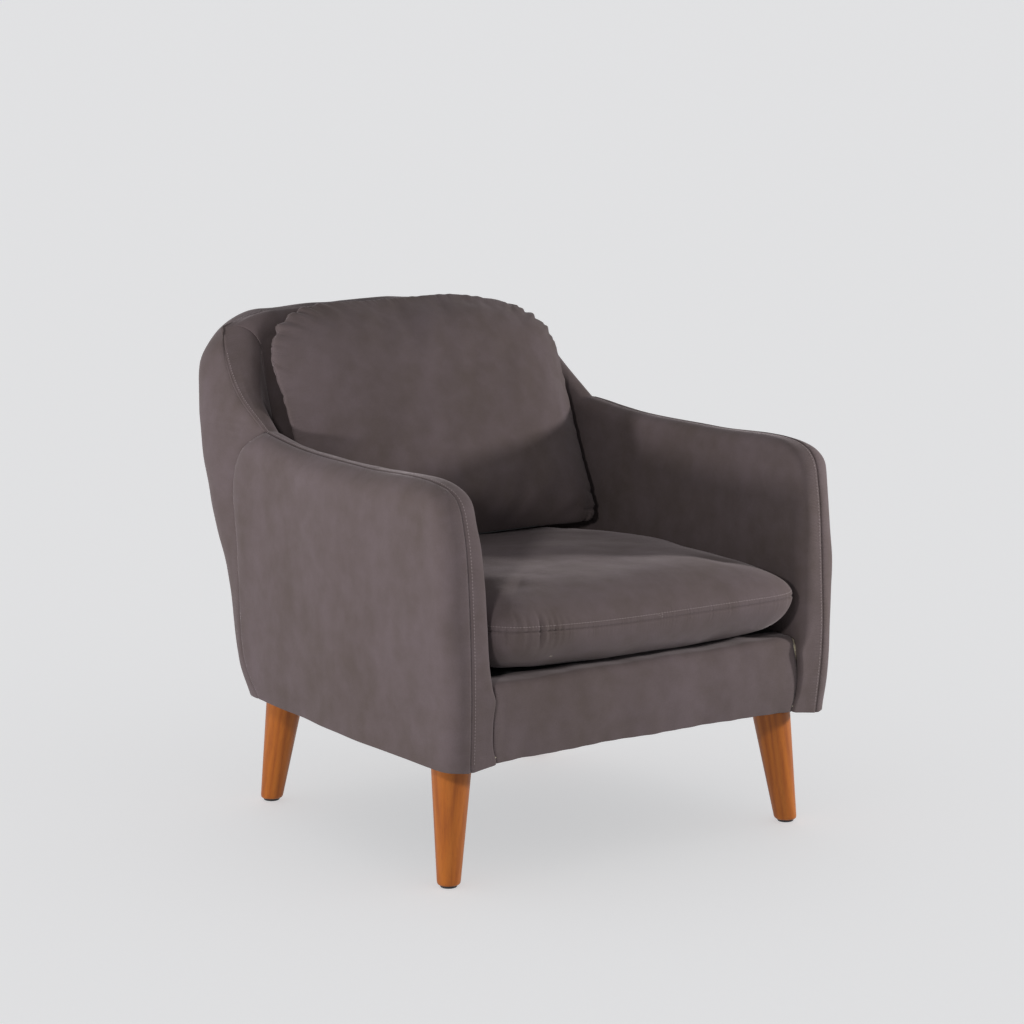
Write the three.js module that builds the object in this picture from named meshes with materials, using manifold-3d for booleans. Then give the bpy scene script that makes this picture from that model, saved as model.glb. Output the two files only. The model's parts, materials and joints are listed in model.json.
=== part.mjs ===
// An upholstered lounge armchair: a timber seat frame and back frame under foam and fabric,
// a loose seat cushion, a loose back cushion and four splayed, tapered wooden legs.
// Millimetres, +Z up, the sitter faces -Y, and the floor is z = 0.
import * as THREE from 'three';
import { mergeVertices } from 'three/addons/utils/BufferGeometryUtils.js';
import Module from 'manifold-3d';

const wasm = await Module();
wasm.setup();
const { Manifold } = wasm;

const armchair = new THREE.Group();

// ---- driving dimensions ----
const GAP = 0.3; // between pieces that touch
const FABRIC = 3; // upholstery fabric with its backing wadding
const HEM = 196; // lower edge of the upholstered body
const BASE = 300; // lower edge of the inside covers
const DECK_TOP = 314.3;
const BACK_BASE_Y = 183; // inside back at the height of BASE
const LEAN_SLOPE = 0.2646; // how far the inside back moves rearward per unit of height
const LEAN = Math.atan(LEAN_SLOPE);

const ARM_FACE_X = 376; // outside of the arm
const ARM_ROLL = 36; // the outside face rolls in to the seam over this width
const ARM_INNER_X = 295; // face towards the sitter
const ARM_INNER_ROUND = 24;
const FRONT_FACE_Y = -404; // front of the seat rail's cover
const RAIL_COVER_X = ARM_INNER_X - 2 * GAP;
const RAIL_COVER_TOP = 315;
const RAIL_COVER_ROUND = 14;
const RAIL_COVER_REAR = -352;

const FRAME_BOTTOM = 199;
const FRAME_TOP = 292; // top of the seat rails
const FRAME_FRONT = -380;
const SIDE_RAIL_IN = 290;
const SIDE_RAIL_OUT = 330;
const ARM_FRAME_IN = 310;
const ARM_FRAME_OUT = 345;
const BOARD = 25; // thickness of the boards
const BACK_FRAME_DEPTH = 50; // from the inside back to the front of the back frame
const BACK_POST = { inner: 247, outer: 289.7, thickness: 38, top: 714 };
const PADDING = 10; // foam over the arm's frame
const BACK_PADDING = 40;

const LEG = { top: 183.2, tilt: THREE.MathUtils.degToRad(8.3), topRadius: 31, footRadius: 17.5 };
const FRONT_LEG = { x: 309, y: -323, outward: -1 };
const REAR_LEG = { x: 248, y: 232, outward: 1 };
const GLIDE_HEIGHT = 4;
const BOLT_RADIUS = 4;
const BOLT_HOLE_RADIUS = 4.4;

const CUSHION = { seam: 385, front: -435, rear: 186, halfWidth: 292, up: 55, down: 69 };
const PILLOW = { halfWidth: 279, halfHeight: 203, forward: 62, rearward: 88 };
const PILLOW_CENTRE = new THREE.Vector3(0, 166, 619);
const PILLOW_LEAN = THREE.MathUtils.degToRad(22.5);
const PILLOW_TAPER = 2; // how much wider its top is than its middle, on each side
const CASE_FABRIC = 2.5; // fabric of the loose cushions' cases
const ZIP = { width: 11, thickness: 1.6, margin: 0.5 };

// ---- helpers ----
const v3 = (x, y, z) => new THREE.Vector3(x, y, z);
const mix = THREE.MathUtils.lerp;
const smooth = THREE.MathUtils.smoothstep;

function solidOf(geometry) {
  const bare = geometry.clone();
  bare.deleteAttribute('normal');
  bare.deleteAttribute('uv');
  const merged = mergeVertices(bare, 1e-4);
  return new Manifold(new wasm.Mesh({
    numProp: 3,
    vertProperties: new Float32Array(merged.attributes.position.array),
    triVerts: new Uint32Array(merged.index.array),
  }));
}

function geometryOf(solid) {
  const mesh = solid.getMesh();
  const geometry = new THREE.BufferGeometry();
  geometry.setAttribute('position', new THREE.BufferAttribute(mesh.vertProperties, 3));
  geometry.setIndex(new THREE.BufferAttribute(mesh.triVerts, 1));
  geometry.computeVertexNormals();
  return geometry;
}

function add(name, solid, material) {
  const mesh = new THREE.Mesh(geometryOf(solid), material);
  mesh.name = name;
  armchair.add(mesh);
}

// the same piece for the right arm (+X) and, mirrored, for the left arm
function addPair(name, solid, material) {
  add(`${name}_right`, solid, material());
  add(`${name}_left`, solid.mirror([1, 0, 0]), material());
}

function box(low, high) {
  const size = v3(...high).sub(v3(...low));
  const centre = v3(...low).addScaledVector(size, 0.5);
  return solidOf(new THREE.BoxGeometry(size.x, size.y, size.z).translate(...centre));
}

// a flat outline in x and y, raised from one height to another
function board(outline, bottom, top) {
  const shape = new THREE.Shape(outline.map(([x, y]) => new THREE.Vector2(x, y)));
  const geometry = new THREE.ExtrudeGeometry(shape, { depth: top - bottom, bevelEnabled: false });
  return solidOf(geometry.translate(0, 0, bottom));
}

// the frame of the inside back: x, depth behind the inside back, and height along its lean
function leaned(solid) {
  return solid
    .rotate([-THREE.MathUtils.radToDeg(LEAN), 0, 0])
    .translate([0, BACK_BASE_Y, BASE]);
}
const alongLean = (z) => (z - BASE) / Math.cos(LEAN);
const insideBackY = (z) => BACK_BASE_Y + LEAN_SLOPE * (z - BASE);

// parameter values with extra rows near the start and the end, where the rolls are
function stations(count, crowding) {
  const values = [];
  for (let i = 0; i <= count; i += 1) {
    const t = i / count;
    values.push(mix(t, (1 - Math.cos(Math.PI * t)) / 2, crowding));
  }
  return values;
}

// the outward normal of a surface whose du x dv points out
function normalAt(surface, u, v) {
  const step = 0.004;
  const inside = (t) => THREE.MathUtils.clamp(t, 0.012, 0.988);
  const alongU = surface(inside(u) + step, inside(v)).sub(surface(inside(u) - step, inside(v)));
  const alongV = surface(inside(u), inside(v) + step).sub(surface(inside(u), inside(v) - step));
  return alongU.cross(alongV).normalize();
}

// a closed sheet between two depths below a surface
function panel(surface, us, vs, outerDepth = 0, innerDepth = FABRIC) {
  const positions = [];
  const index = [];
  const layerSize = us.length * vs.length;
  for (const depth of [outerDepth, innerDepth]) {
    for (const v of vs) {
      for (const u of us) {
        positions.push(...surface(u, v).addScaledVector(normalAt(surface, u, v), -depth));
      }
    }
  }
  const at = (i, j, layer) => layer * layerSize + j * us.length + i;
  const quad = (a, b, c, d) => index.push(a, b, c, a, c, d);
  const lastU = us.length - 1;
  const lastV = vs.length - 1;
  for (let j = 0; j < lastV; j += 1) {
    for (let i = 0; i < lastU; i += 1) {
      quad(at(i, j, 0), at(i + 1, j, 0), at(i + 1, j + 1, 0), at(i, j + 1, 0));
      quad(at(i, j, 1), at(i, j + 1, 1), at(i + 1, j + 1, 1), at(i + 1, j, 1));
    }
    quad(at(0, j, 0), at(0, j + 1, 0), at(0, j + 1, 1), at(0, j, 1));
    quad(at(lastU, j + 1, 0), at(lastU, j, 0), at(lastU, j, 1), at(lastU, j + 1, 1));
  }
  for (let i = 0; i < lastU; i += 1) {
    quad(at(i + 1, 0, 0), at(i, 0, 0), at(i, 0, 1), at(i + 1, 0, 1));
    quad(at(i, lastV, 0), at(i + 1, lastV, 0), at(i + 1, lastV, 1), at(i, lastV, 1));
  }
  const geometry = new THREE.BufferGeometry();
  geometry.setAttribute('position', new THREE.Float32BufferAttribute(positions, 3));
  geometry.setIndex(index);
  return solidOf(geometry);
}

// ---- materials ----
const fabric = () => new THREE.MeshStandardMaterial({ color: 0x5f5553, roughness: 0.95, metalness: 0 });
const foam = () => new THREE.MeshStandardMaterial({ color: 0xd9cfae, roughness: 0.95, metalness: 0 });
const pine = () => new THREE.MeshStandardMaterial({ color: 0xc9a26b, roughness: 0.8, metalness: 0 });
const stainedWood = () => new THREE.MeshStandardMaterial({ color: 0x9c5a28, roughness: 0.4, metalness: 0 });
const webbing = () => new THREE.MeshStandardMaterial({ color: 0x2b2b2d, roughness: 0.9, metalness: 0 });
const lining = () => new THREE.MeshStandardMaterial({ color: 0x232225, roughness: 0.95, metalness: 0 });
const zincSteel = () => new THREE.MeshStandardMaterial({ color: 0xb9bcc0, roughness: 0.4, metalness: 1 });
const springSteel = () => new THREE.MeshStandardMaterial({ color: 0x6d7074, roughness: 0.5, metalness: 1 });
const blackPlastic = () => new THREE.MeshStandardMaterial({ color: 0x17161a, roughness: 0.6, metalness: 0 });

// ---- seams of the right-hand side ----
// outer arm seam: up the front from the hem, over the rounded corner and along the top
const armSeam = new THREE.CatmullRomCurve3([
  v3(331, -408, HEM - 7),
  v3(335, -417, 300),
  v3(335, -413, 430),
  v3(336, -402, 545),
  v3(338, -386, 593),
  v3(341, -342, 613),
  v3(337, -141, 611),
  v3(328, 55, 613),
  v3(322, 167, 624),
], false, 'centripetal');
const ARM_CORNER = 0.45; // where the armSeam turns from the front to the top
const junction = armSeam.getPointAt(1);

// the arm's rear edge, up from the hem and forward to the junction
const rearSeam = new THREE.CatmullRomCurve3([
  v3(345, 163, HEM),
  v3(347, 203, 256),
  v3(342, 221, 441),
  v3(337, 234, 530),
  v3(331, 216, 584),
  junction,
], false, 'centripetal');

// the wing seam, from the junction up to the top corner of the back
const wingSeam = new THREE.CatmullRomCurve3([
  junction,
  v3(321, 249, 675),
  v3(311, 300, 722),
  v3(292, 343, 768),
], false, 'centripetal');

// the outside back down its middle, from the hem over the crown to the top seam
const spine = new THREE.CatmullRomCurve3([
  v3(0, 298, HEM),
  v3(0, 314, 222),
  v3(0, 372, 450),
  v3(0, 411, 600),
  v3(0, 431, 705),
  v3(0, 423, 760),
  v3(0, 390, 787),
  v3(0, 352, 787),
], false, 'centripetal');

// ---- surfaces of the covers, for u and v from 0 to 1 ----
// how far a rounded corner has turned, from 0 at its start to 1 once it is a width away
const turned = (distance, width) => 1 - (1 - THREE.MathUtils.clamp(distance / width, 0, 1)) ** 2;
// the same for a full quarter circle
const roll = (distance, width) => Math.sqrt(turned(distance, width));

// outside of the arm: u runs rearward, v upward
function armOutside(u, v) {
  const front = armSeam.getPointAt(ARM_CORNER * v);
  const top = armSeam.getPointAt(mix(ARM_CORNER, 1, u));
  const rear = rearSeam.getPointAt(v);
  const corner = armSeam.getPointAt(ARM_CORNER);
  const point = front.clone().lerp(rear, u)
    .addScaledVector(top, v)
    .addScaledVector(corner, -(1 - u) * v)
    .addScaledVector(junction, -u * v);
  const hemTuck = 12 * (1 - smooth(point.z, HEM - 40, HEM + 270));
  const taper = 22 * smooth(point.y, -170, 230);
  const face = ARM_FACE_X - taper - hemTuck;
  const swell = roll(point.y - front.y, ARM_ROLL)
    * roll(top.z - point.z, ARM_ROLL)
    * roll(rear.y - point.y, ARM_ROLL);
  point.x = mix(point.x, Math.max(face, point.x), swell);
  return point;
}

// outside back, round both rear corners: u runs from the right side to the left, v upward
const WRAP_SPLIT = 0.6; // share of v below the junction
const TOP_CORNER = 110; // width of the back's rounded top corner
function backOutside(u, v) {
  const side = u < 0.5 ? 1 : -1;
  const turn = (1 - Math.abs(2 * u - 1)) * Math.PI / 2;
  const edge = v < WRAP_SPLIT
    ? rearSeam.getPointAt(v / WRAP_SPLIT)
    : wingSeam.getPointAt((v - WRAP_SPLIT) / (1 - WRAP_SPLIT));
  const middle = spine.getPointAt(v);
  const roundness = mix(0.9, 0.48, smooth(v, 0.05, WRAP_SPLIT));
  const across = Math.max(Math.cos(turn), 0) ** roundness;
  const shoulder = turned(edge.x * (1 - across), TOP_CORNER);
  const rearward = mix(Math.sin(turn) ** roundness, shoulder, smooth(v, 0.8, 1));
  const swell = 26 * smooth(v, 0.2, 0.62) * (1 - smooth(v, 0.66, 1));
  const bulge = swell * Math.sqrt(Math.max(Math.sin(2 * turn), 0));
  return v3(
    side * (edge.x * across + bulge),
    mix(edge.y, middle.y, rearward) + 2 * GAP * across,
    mix(edge.z, middle.z, rearward),
  );
}

// the cross-line from a seam over the roll and down the inside face: w = 0 at the seam
function crossLine(seam, offsets, base, w) {
  const rollStart = seam.clone().add(offsets.start);
  const corner = seam.clone().add(offsets.corner);
  const rollEnd = seam.clone().add(offsets.end);
  if (w < 0.2) {
    return seam.clone().lerp(rollStart, w / 0.2);
  }
  if (w < 0.5) {
    return new THREE.QuadraticBezierCurve3(rollStart, corner, rollEnd).getPoint((w - 0.2) / 0.3);
  }
  return rollEnd.lerp(base, (w - 0.5) / 0.5);
}

// where the inside arm meets the inside back
const cornerSeam = {
  seam: wingSeam.getPointAt(1),
  offsets: { start: v3(-17, -15, 2), corner: v3(-37, -38, 1), end: v3(-41, -50, -28) },
  base: v3(257, BACK_BASE_Y - 17, BASE),
};

function blendOffsets(a, b, t) {
  return {
    start: a.start.clone().lerp(b.start, t),
    corner: a.corner.clone().lerp(b.corner, t),
    end: a.end.clone().lerp(b.end, t),
  };
}

// inside of the arm with its front and top strips: u runs from the hem to the top corner, v inward
const ARM_SHARE = 0.78; // share of u on the arm; the rest is the wing
const FAN_START = 0.1; // share of armSeam that stands below the deck
function armInside(u, v) {
  const onArm = u < ARM_SHARE;
  const along = onArm ? u / ARM_SHARE : (u - ARM_SHARE) / (1 - ARM_SHARE);
  const curve = onArm ? armSeam : wingSeam;
  const seam = curve.getPointAt(along);
  const tangent = curve.getTangentAt(along);
  const inward = v3(0, tangent.z, -tangent.y).normalize();
  const width = seam.x - ARM_INNER_X;
  const armOffsets = {
    start: v3(ARM_INNER_ROUND - width, 0, 0),
    corner: v3(-width, 0, 0),
    end: v3(-width, 0, 0).addScaledVector(inward, ARM_INNER_ROUND),
  };
  const wing = smooth(u, ARM_SHARE - 0.06, 1);
  const offsets = blendOffsets(armOffsets, cornerSeam.offsets, wing);
  const armU = Math.min(u / ARM_SHARE, 1);
  const base = v3(
    ARM_INNER_X,
    mix(FRAME_FRONT - 3, 110, smooth(armU, FAN_START + 0.04, 1)),
    armU < FAN_START ? mix(HEM, BASE, armU / FAN_START) : BASE,
  ).lerp(cornerSeam.base, wing);
  return crossLine(seam, offsets, base, v);
}

// inside back over the top: u runs from the left side to the right, v up and over the top
const topSeamCentre = spine.getPointAt(1);
const INNER_FILLET = 45; // width of the hollow where the arm meets the back
const backOffsets = { start: v3(0, -22, 4), corner: v3(0, -52, 6), end: v3(0, -44, -30) };
function backInside(u, v) {
  const side = u < 0.5 ? -1 : 1;
  const across = Math.abs(2 * u - 1);
  const fromSide = (1 - across) * cornerSeam.seam.x;
  const shoulder = turned(fromSide, TOP_CORNER);
  const seam = v3(
    cornerSeam.seam.x * across,
    mix(cornerSeam.seam.y, topSeamCentre.y, shoulder),
    mix(cornerSeam.seam.z, topSeamCentre.z, shoulder),
  );
  const offsets = blendOffsets(cornerSeam.offsets, backOffsets, shoulder);
  for (const offset of Object.values(offsets)) {
    offset.x *= across;
  }
  const fillet = turned(fromSide, INNER_FILLET);
  const base = v3(cornerSeam.base.x * across, mix(cornerSeam.base.y, BACK_BASE_Y, fillet), BASE);
  const point = crossLine(seam, offsets, base, 1 - v);
  point.x *= side;
  return point;
}

// ---- covers ----
// stations along each seam are shared by the two covers that meet there
const even = (count) => stations(count, 0);
const frontStations = stations(8, 0.7);
const topStations = stations(10, 0.8);
const wingStations = even(5);
const crossStations = [0, 0.2, 0.3, 0.4, 0.5, 0.75, 1];
const backStations = [0, 0.03, 0.08, 0.18, 0.5, 0.82, 0.92, 0.97, 1];
const armInsideStations = [
  ...frontStations.map((t) => t * ARM_CORNER * ARM_SHARE),
  ...topStations.slice(1).map((t) => mix(ARM_CORNER, 1, t) * ARM_SHARE),
  ...wingStations.slice(1).map((t) => mix(ARM_SHARE, 1, t)),
];
const backOutsideStations = [
  ...frontStations.map((t) => t * WRAP_SPLIT),
  ...wingStations.slice(1).map((t) => mix(WRAP_SPLIT, 1, t)),
];
const backInsideStations = crossStations.map((t) => 1 - t).reverse();

// a cover made a little larger all round trims the covers that meet it
const SEAM_MARGIN = 0.003;
const widened = (values, before, after) => [
  values[0] - before, ...values.slice(1, -1), values[values.length - 1] + after,
];
const onBothSides = (solid) => solid.add(solid.mirror([1, 0, 0]));
const TRIM_DEPTH = [-1, FABRIC + 1];
const backInnerTrim = panel(
  backInside,
  widened(backStations, SEAM_MARGIN, SEAM_MARGIN),
  widened(backInsideStations, 0, SEAM_MARGIN),
  ...TRIM_DEPTH,
);
const armInnerTrim = panel(
  armInside,
  armInsideStations,
  widened(crossStations, SEAM_MARGIN, 0),
  ...TRIM_DEPTH,
);

// the main piece of a trimmed cover, without the slivers that a trim can leave beyond a seam
const mainPiece = (solid) => solid.decompose().sort((a, b) => b.volume() - a.volume())[0];
const armInner = mainPiece(panel(armInside, armInsideStations, crossStations).subtract(backInnerTrim));
const armOuter = mainPiece(panel(armOutside, topStations, frontStations).subtract(armInnerTrim));
const backOuter = mainPiece(panel(backOutside, even(14), backOutsideStations)
  .subtract(onBothSides(armInnerTrim))
  .subtract(backInnerTrim));
addPair('arm_inner_cover', armInner, fabric);
addPair('arm_outer_cover', armOuter, fabric);
add('back_outer_cover', backOuter, fabric());
add('back_inner_cover', panel(backInside, backStations, backInsideStations), fabric());

// the seat rail's cover: u across the front, v up the front and over the top
function railFront(u, v) {
  const x = mix(-RAIL_COVER_X, RAIL_COVER_X, u);
  const straight = RAIL_COVER_TOP - RAIL_COVER_ROUND;
  if (v < 0.5) {
    const puff = 3 * Math.sin(Math.PI * v / 0.5);
    return v3(x, FRONT_FACE_Y - puff, mix(HEM, straight, v / 0.5));
  }
  if (v < 0.8) {
    const turn = (v - 0.5) / 0.3 * Math.PI / 2;
    return v3(
      x,
      FRONT_FACE_Y + RAIL_COVER_ROUND * (1 - Math.cos(turn)),
      straight + RAIL_COVER_ROUND * Math.sin(turn),
    );
  }
  return v3(x, mix(FRONT_FACE_Y + RAIL_COVER_ROUND, RAIL_COVER_REAR, (v - 0.8) / 0.2), RAIL_COVER_TOP);
}
add('front_rail_cover', panel(railFront, even(2), [0, 0.25, 0.5, 0.6, 0.7, 0.8, 1]), fabric());

// outline in plan from its points on the right, repeated on the left
const symmetric = (right) => [...right, ...right.map(([x, y]) => [-x, y]).reverse()];
const DECK_OUTLINE = symmetric([[294.2, -351.7], [294.2, 90], [254.5, 163], [238, 180]]);
add('deck_cover', board(DECK_OUTLINE, DECK_TOP - 2, DECK_TOP), lining());

// ---- legs and what holds them ----
// places a solid made up the +Z axis on a leg's axis, with its z = 0 at the top of the leg
function onLegAxis(geometry, leg) {
  const spread = Math.tan(LEG.tilt) / Math.SQRT2;
  const axis = v3(-spread, -leg.outward * spread, 1).normalize();
  const turn = new THREE.Quaternion().setFromUnitVectors(v3(0, 0, 1), axis);
  return solidOf(geometry.applyQuaternion(turn).translate(leg.x, leg.y, LEG.top));
}

function rod(radius, bottom, top, sides) {
  const geometry = new THREE.CylinderGeometry(radius, radius, top - bottom, sides);
  return geometry.rotateX(Math.PI / 2).translate(0, 0, (top + bottom) / 2);
}

const BOLT_DEPTH = 30; // how far the bolt runs into the leg
const BOLT_REACH = 42; // how far it stands above the leg
const BOLT_SIDES = 10;
function boltHole(leg) {
  return onLegAxis(rod(BOLT_HOLE_RADIUS, -BOLT_DEPTH - 1, BOLT_REACH + 2, BOLT_SIDES), leg);
}

function legSolid(leg) {
  const length = LEG.top / Math.cos(LEG.tilt);
  const profile = [
    [0, -length - 1],
    [LEG.footRadius - 3, -length - 1],
    [LEG.footRadius, -length + 7],
    [LEG.topRadius, 0],
    [LEG.topRadius, 6],
    [0, 6],
  ].map(([radius, height]) => new THREE.Vector2(radius, height));
  return onLegAxis(new THREE.LatheGeometry(profile, 20).rotateX(Math.PI / 2), leg)
    .trimByPlane([0, 0, -1], -LEG.top)
    .trimByPlane([0, 0, 1], GLIDE_HEIGHT + GAP)
    .subtract(boltHole(leg))
    .subtract(glidePin(leg, 0.3));
}

// the centre of a leg's foot
function footOf(leg) {
  const shift = Math.tan(LEG.tilt) / Math.SQRT2 * (LEG.top - GLIDE_HEIGHT);
  return v3(leg.x + shift, leg.y + leg.outward * shift, 0);
}

const GLIDE_PIN = { radius: 2, top: 15 };
function glidePin(leg, clearance) {
  const foot = footOf(leg);
  const pin = rod(GLIDE_PIN.radius + clearance, GLIDE_HEIGHT - 0.5, GLIDE_PIN.top + clearance, 8);
  return solidOf(pin.translate(foot.x, foot.y, 0));
}

function glideSolid(leg) {
  const foot = footOf(leg);
  const profile = [[0, 0], [11.5, 0], [13, 1.2], [13, GLIDE_HEIGHT], [0, GLIDE_HEIGHT]]
    .map(([radius, height]) => new THREE.Vector2(radius, height));
  const disc = new THREE.LatheGeometry(profile, 14).rotateX(Math.PI / 2);
  return solidOf(disc.translate(foot.x, foot.y, 0)).add(glidePin(leg, 0));
}

// a round flange under the dust cover, with a boss down to the leg
const PLATE = { radius: 26, bossRadius: 19, flange: 2.5, top: 196.9 };
function plateSolid(leg) {
  const flange = rod(PLATE.radius, PLATE.top - PLATE.flange, PLATE.top, 18);
  const boss = rod(PLATE.bossRadius, LEG.top + GAP, PLATE.top - 1, 18);
  return solidOf(flange.translate(leg.x, leg.y, 0))
    .add(solidOf(boss.translate(leg.x, leg.y, 0)))
    .subtract(boltHole(leg));
}

for (const [place, leg] of [['front', FRONT_LEG], ['rear', REAR_LEG]]) {
  addPair(`${place}_leg`, legSolid(leg), stainedWood);
  addPair(`${place}_glide`, glideSolid(leg), blackPlastic);
  addPair(`${place}_leg_plate`, plateSolid(leg), zincSteel);
  const bolt = rod(BOLT_RADIUS, -BOLT_DEPTH, BOLT_REACH, BOLT_SIDES);
  addPair(`${place}_hanger_bolt`, onLegAxis(bolt, leg), zincSteel);
}

// ---- seat frame ----
const FRONT_RAIL_IN = SIDE_RAIL_IN - GAP;
const frontRail = box(
  [-FRONT_RAIL_IN, FRAME_FRONT, FRAME_BOTTOM],
  [FRONT_RAIL_IN, FRAME_FRONT + BOARD, FRAME_TOP],
);
add('front_rail', frontRail, pine());
const SIDE_RAIL_REAR = [[SIDE_RAIL_OUT, 178], [313, 208], [294, 227]];
const SIDE_RAIL_OUTLINE = [
  [SIDE_RAIL_IN, FRAME_FRONT],
  [SIDE_RAIL_OUT, FRAME_FRONT],
  ...SIDE_RAIL_REAR,
  [SIDE_RAIL_IN, 227],
];
const sideRail = board(SIDE_RAIL_OUTLINE, FRAME_BOTTOM, FRAME_TOP).subtract(boltHole(FRONT_LEG));
addPair('side_rail', sideRail, pine);

// a board across the back frame: half its length, its depths and its heights
function backBoard(half, depths, bottom, top) {
  return leaned(box([-half, depths[0], alongLean(bottom)], [half, depths[1], alongLean(top)]));
}
const POST_DEPTHS = [BACK_FRAME_DEPTH, BACK_FRAME_DEPTH + BACK_POST.thickness];
const BOARD_DEPTHS = [BACK_FRAME_DEPTH + 2, BACK_FRAME_DEPTH + 2 + BOARD];
const EXTRA = 40; // rough ends that are then cut level
const REAR_RAIL_CORNER = 520; // x plus y along the line that cuts off its rear corners
const rearRail = backBoard(FRONT_RAIL_IN, POST_DEPTHS, FRAME_BOTTOM - EXTRA, FRAME_TOP + EXTRA)
  .trimByPlane([0, 0, 1], FRAME_BOTTOM)
  .trimByPlane([0, 0, -1], -FRAME_TOP)
  .subtract(onBothSides(boltHole(REAR_LEG)))
  .trimByPlane([-1, -1, 0], -REAR_RAIL_CORNER / Math.SQRT2)
  .trimByPlane([1, -1, 0], -REAR_RAIL_CORNER / Math.SQRT2);
add('rear_rail', rearRail, pine());

// lining stapled under the frame
const DUST_COVER_TOP = FRAME_BOTTOM - GAP;
const DUST_OUTLINE = symmetric([[SIDE_RAIL_OUT, FRAME_FRONT], ...SIDE_RAIL_REAR, [256, 242]]);
const legBoltHoles = onBothSides(boltHole(FRONT_LEG)).add(onBothSides(boltHole(REAR_LEG)));
const dustCover = board(DUST_OUTLINE, DUST_COVER_TOP - 1.5, DUST_COVER_TOP).subtract(legBoltHoles);
add('dust_cover', dustCover, lining());

const BLOCK = { leg: 84, height: 42 };
function cornerBlock(faceY, inward) {
  const corner = FRONT_RAIL_IN - GAP;
  const outline = [[corner, faceY], [corner - BLOCK.leg, faceY], [corner, faceY + inward * BLOCK.leg]];
  return board(inward > 0 ? outline.reverse() : outline, FRAME_BOTTOM, FRAME_BOTTOM + BLOCK.height);
}
const REAR_RAIL_FRONT = insideBackY(FRAME_BOTTOM) + BACK_FRAME_DEPTH / Math.cos(LEAN);
addPair('front_corner_block', cornerBlock(FRAME_FRONT + BOARD + GAP, 1), pine);
addPair('rear_corner_block', cornerBlock(REAR_RAIL_FRONT - GAP, -1), pine);

// ---- arm frame ----
const ARM_RAIL = { bottom: 562, top: 587, front: -354 };
const ARM_RAIL_OUTLINE = [
  [ARM_FRAME_IN, ARM_RAIL.front],
  [ARM_FRAME_OUT, ARM_RAIL.front],
  [ARM_FRAME_OUT, -60],
  [335, 40],
  [314, 180],
  [310, 330],
  [SIDE_RAIL_IN, 330],
  [SIDE_RAIL_IN, 260],
  [296, 200],
  [ARM_FRAME_IN, 60],
];
const ARM_POST = { front: -375, rear: -325 };
addPair('arm_rail', board(ARM_RAIL_OUTLINE, ARM_RAIL.bottom, ARM_RAIL.top), pine);
addPair('arm_post', box(
  [ARM_FRAME_IN, ARM_POST.front, FRAME_TOP + GAP],
  [ARM_FRAME_OUT, ARM_POST.rear, ARM_RAIL.bottom - GAP],
), pine);

// ---- back frame ----
const backPost = leaned(box(
  [BACK_POST.inner, POST_DEPTHS[0], alongLean(FRAME_TOP - EXTRA)],
  [BACK_POST.outer, POST_DEPTHS[1], alongLean(BACK_POST.top)],
)).trimByPlane([0, 0, 1], FRAME_TOP + GAP);
addPair('back_post', backPost, pine);

const TOP_RAIL_OUTLINE = symmetric([
  [BACK_POST.outer, alongLean(BACK_POST.top) + GAP],
  [BACK_POST.outer, alongLean(722)],
  [235, alongLean(758)],
]);
const topRail = board(TOP_RAIL_OUTLINE, -BOARD_DEPTHS[1], -BOARD_DEPTHS[0]).rotate([90, 0, 0]);
add('back_top_rail', leaned(topRail), pine());
add('back_lower_rail', backBoard(BACK_POST.inner - GAP, BOARD_DEPTHS, 330, 390), pine());

const STRAP = { thickness: 2, width: 50 };
const STRAP_DEPTHS = [BACK_FRAME_DEPTH - GAP - STRAP.thickness, BACK_FRAME_DEPTH - GAP];
[450, 545, 640].forEach((height, i) => {
  const edges = [height - STRAP.width / 2, height + STRAP.width / 2];
  const strap = backBoard(BACK_POST.outer, STRAP_DEPTHS, ...edges);
  add(`back_webbing_${i + 1}`, strap, webbing());
});

// ---- springs and padding ----
const SPRING = { wire: 3.6, swing: 20, front: -367, rear: 254, waves: 6.5, steps: 44 };
function springSolid(x) {
  const points = [];
  for (let i = 0; i <= SPRING.steps; i += 1) {
    const t = i / SPRING.steps;
    const across = SPRING.swing * Math.sin(2 * Math.PI * SPRING.waves * t);
    points.push(v3(x + across, mix(SPRING.front, SPRING.rear, t), FRAME_TOP + GAP + SPRING.wire / 2));
  }
  const half = SPRING.wire / 2;
  const section = new THREE.Shape([[-half, -half], [half, -half], [half, half], [-half, half]]
    .map(([a, b]) => new THREE.Vector2(a, b)));
  const path = new THREE.CatmullRomCurve3(points);
  return solidOf(new THREE.ExtrudeGeometry(section, { steps: SPRING.steps, extrudePath: path }));
}
[-165, -55, 55, 165].forEach((x, i) => add(`seat_spring_${i + 1}`, springSolid(x), springSteel()));

// foam over the springs and down the front of the seat rail
const PAD_TOP = RAIL_COVER_TOP - FABRIC - GAP;
const PAD_BOTTOM = FRAME_TOP + SPRING.wire + 3 * GAP;
const PAD_FRONT = FRONT_FACE_Y + FABRIC + GAP;
const PAD_PROFILE = [
  [PAD_FRONT, FRAME_BOTTOM],
  [PAD_FRONT, RAIL_COVER_TOP - RAIL_COVER_ROUND],
  [PAD_FRONT + 4, PAD_TOP - 4],
  [FRONT_FACE_Y + RAIL_COVER_ROUND, PAD_TOP],
  [175, PAD_TOP],
  [175, PAD_BOTTOM],
  [FRAME_FRONT - GAP, PAD_BOTTOM],
  [FRAME_FRONT - GAP, FRAME_BOTTOM],
].reverse();
const PAD_PLAN = symmetric([[291, -402], [291, 90], [253.5, 160], [236, 175]]);
const deckPad = board(PAD_PROFILE, -RAIL_COVER_X, RAIL_COVER_X).rotate([90, 0, 90]);
add('deck_pad', deckPad.intersect(board(PAD_PLAN, 0, 400)), foam());

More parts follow.
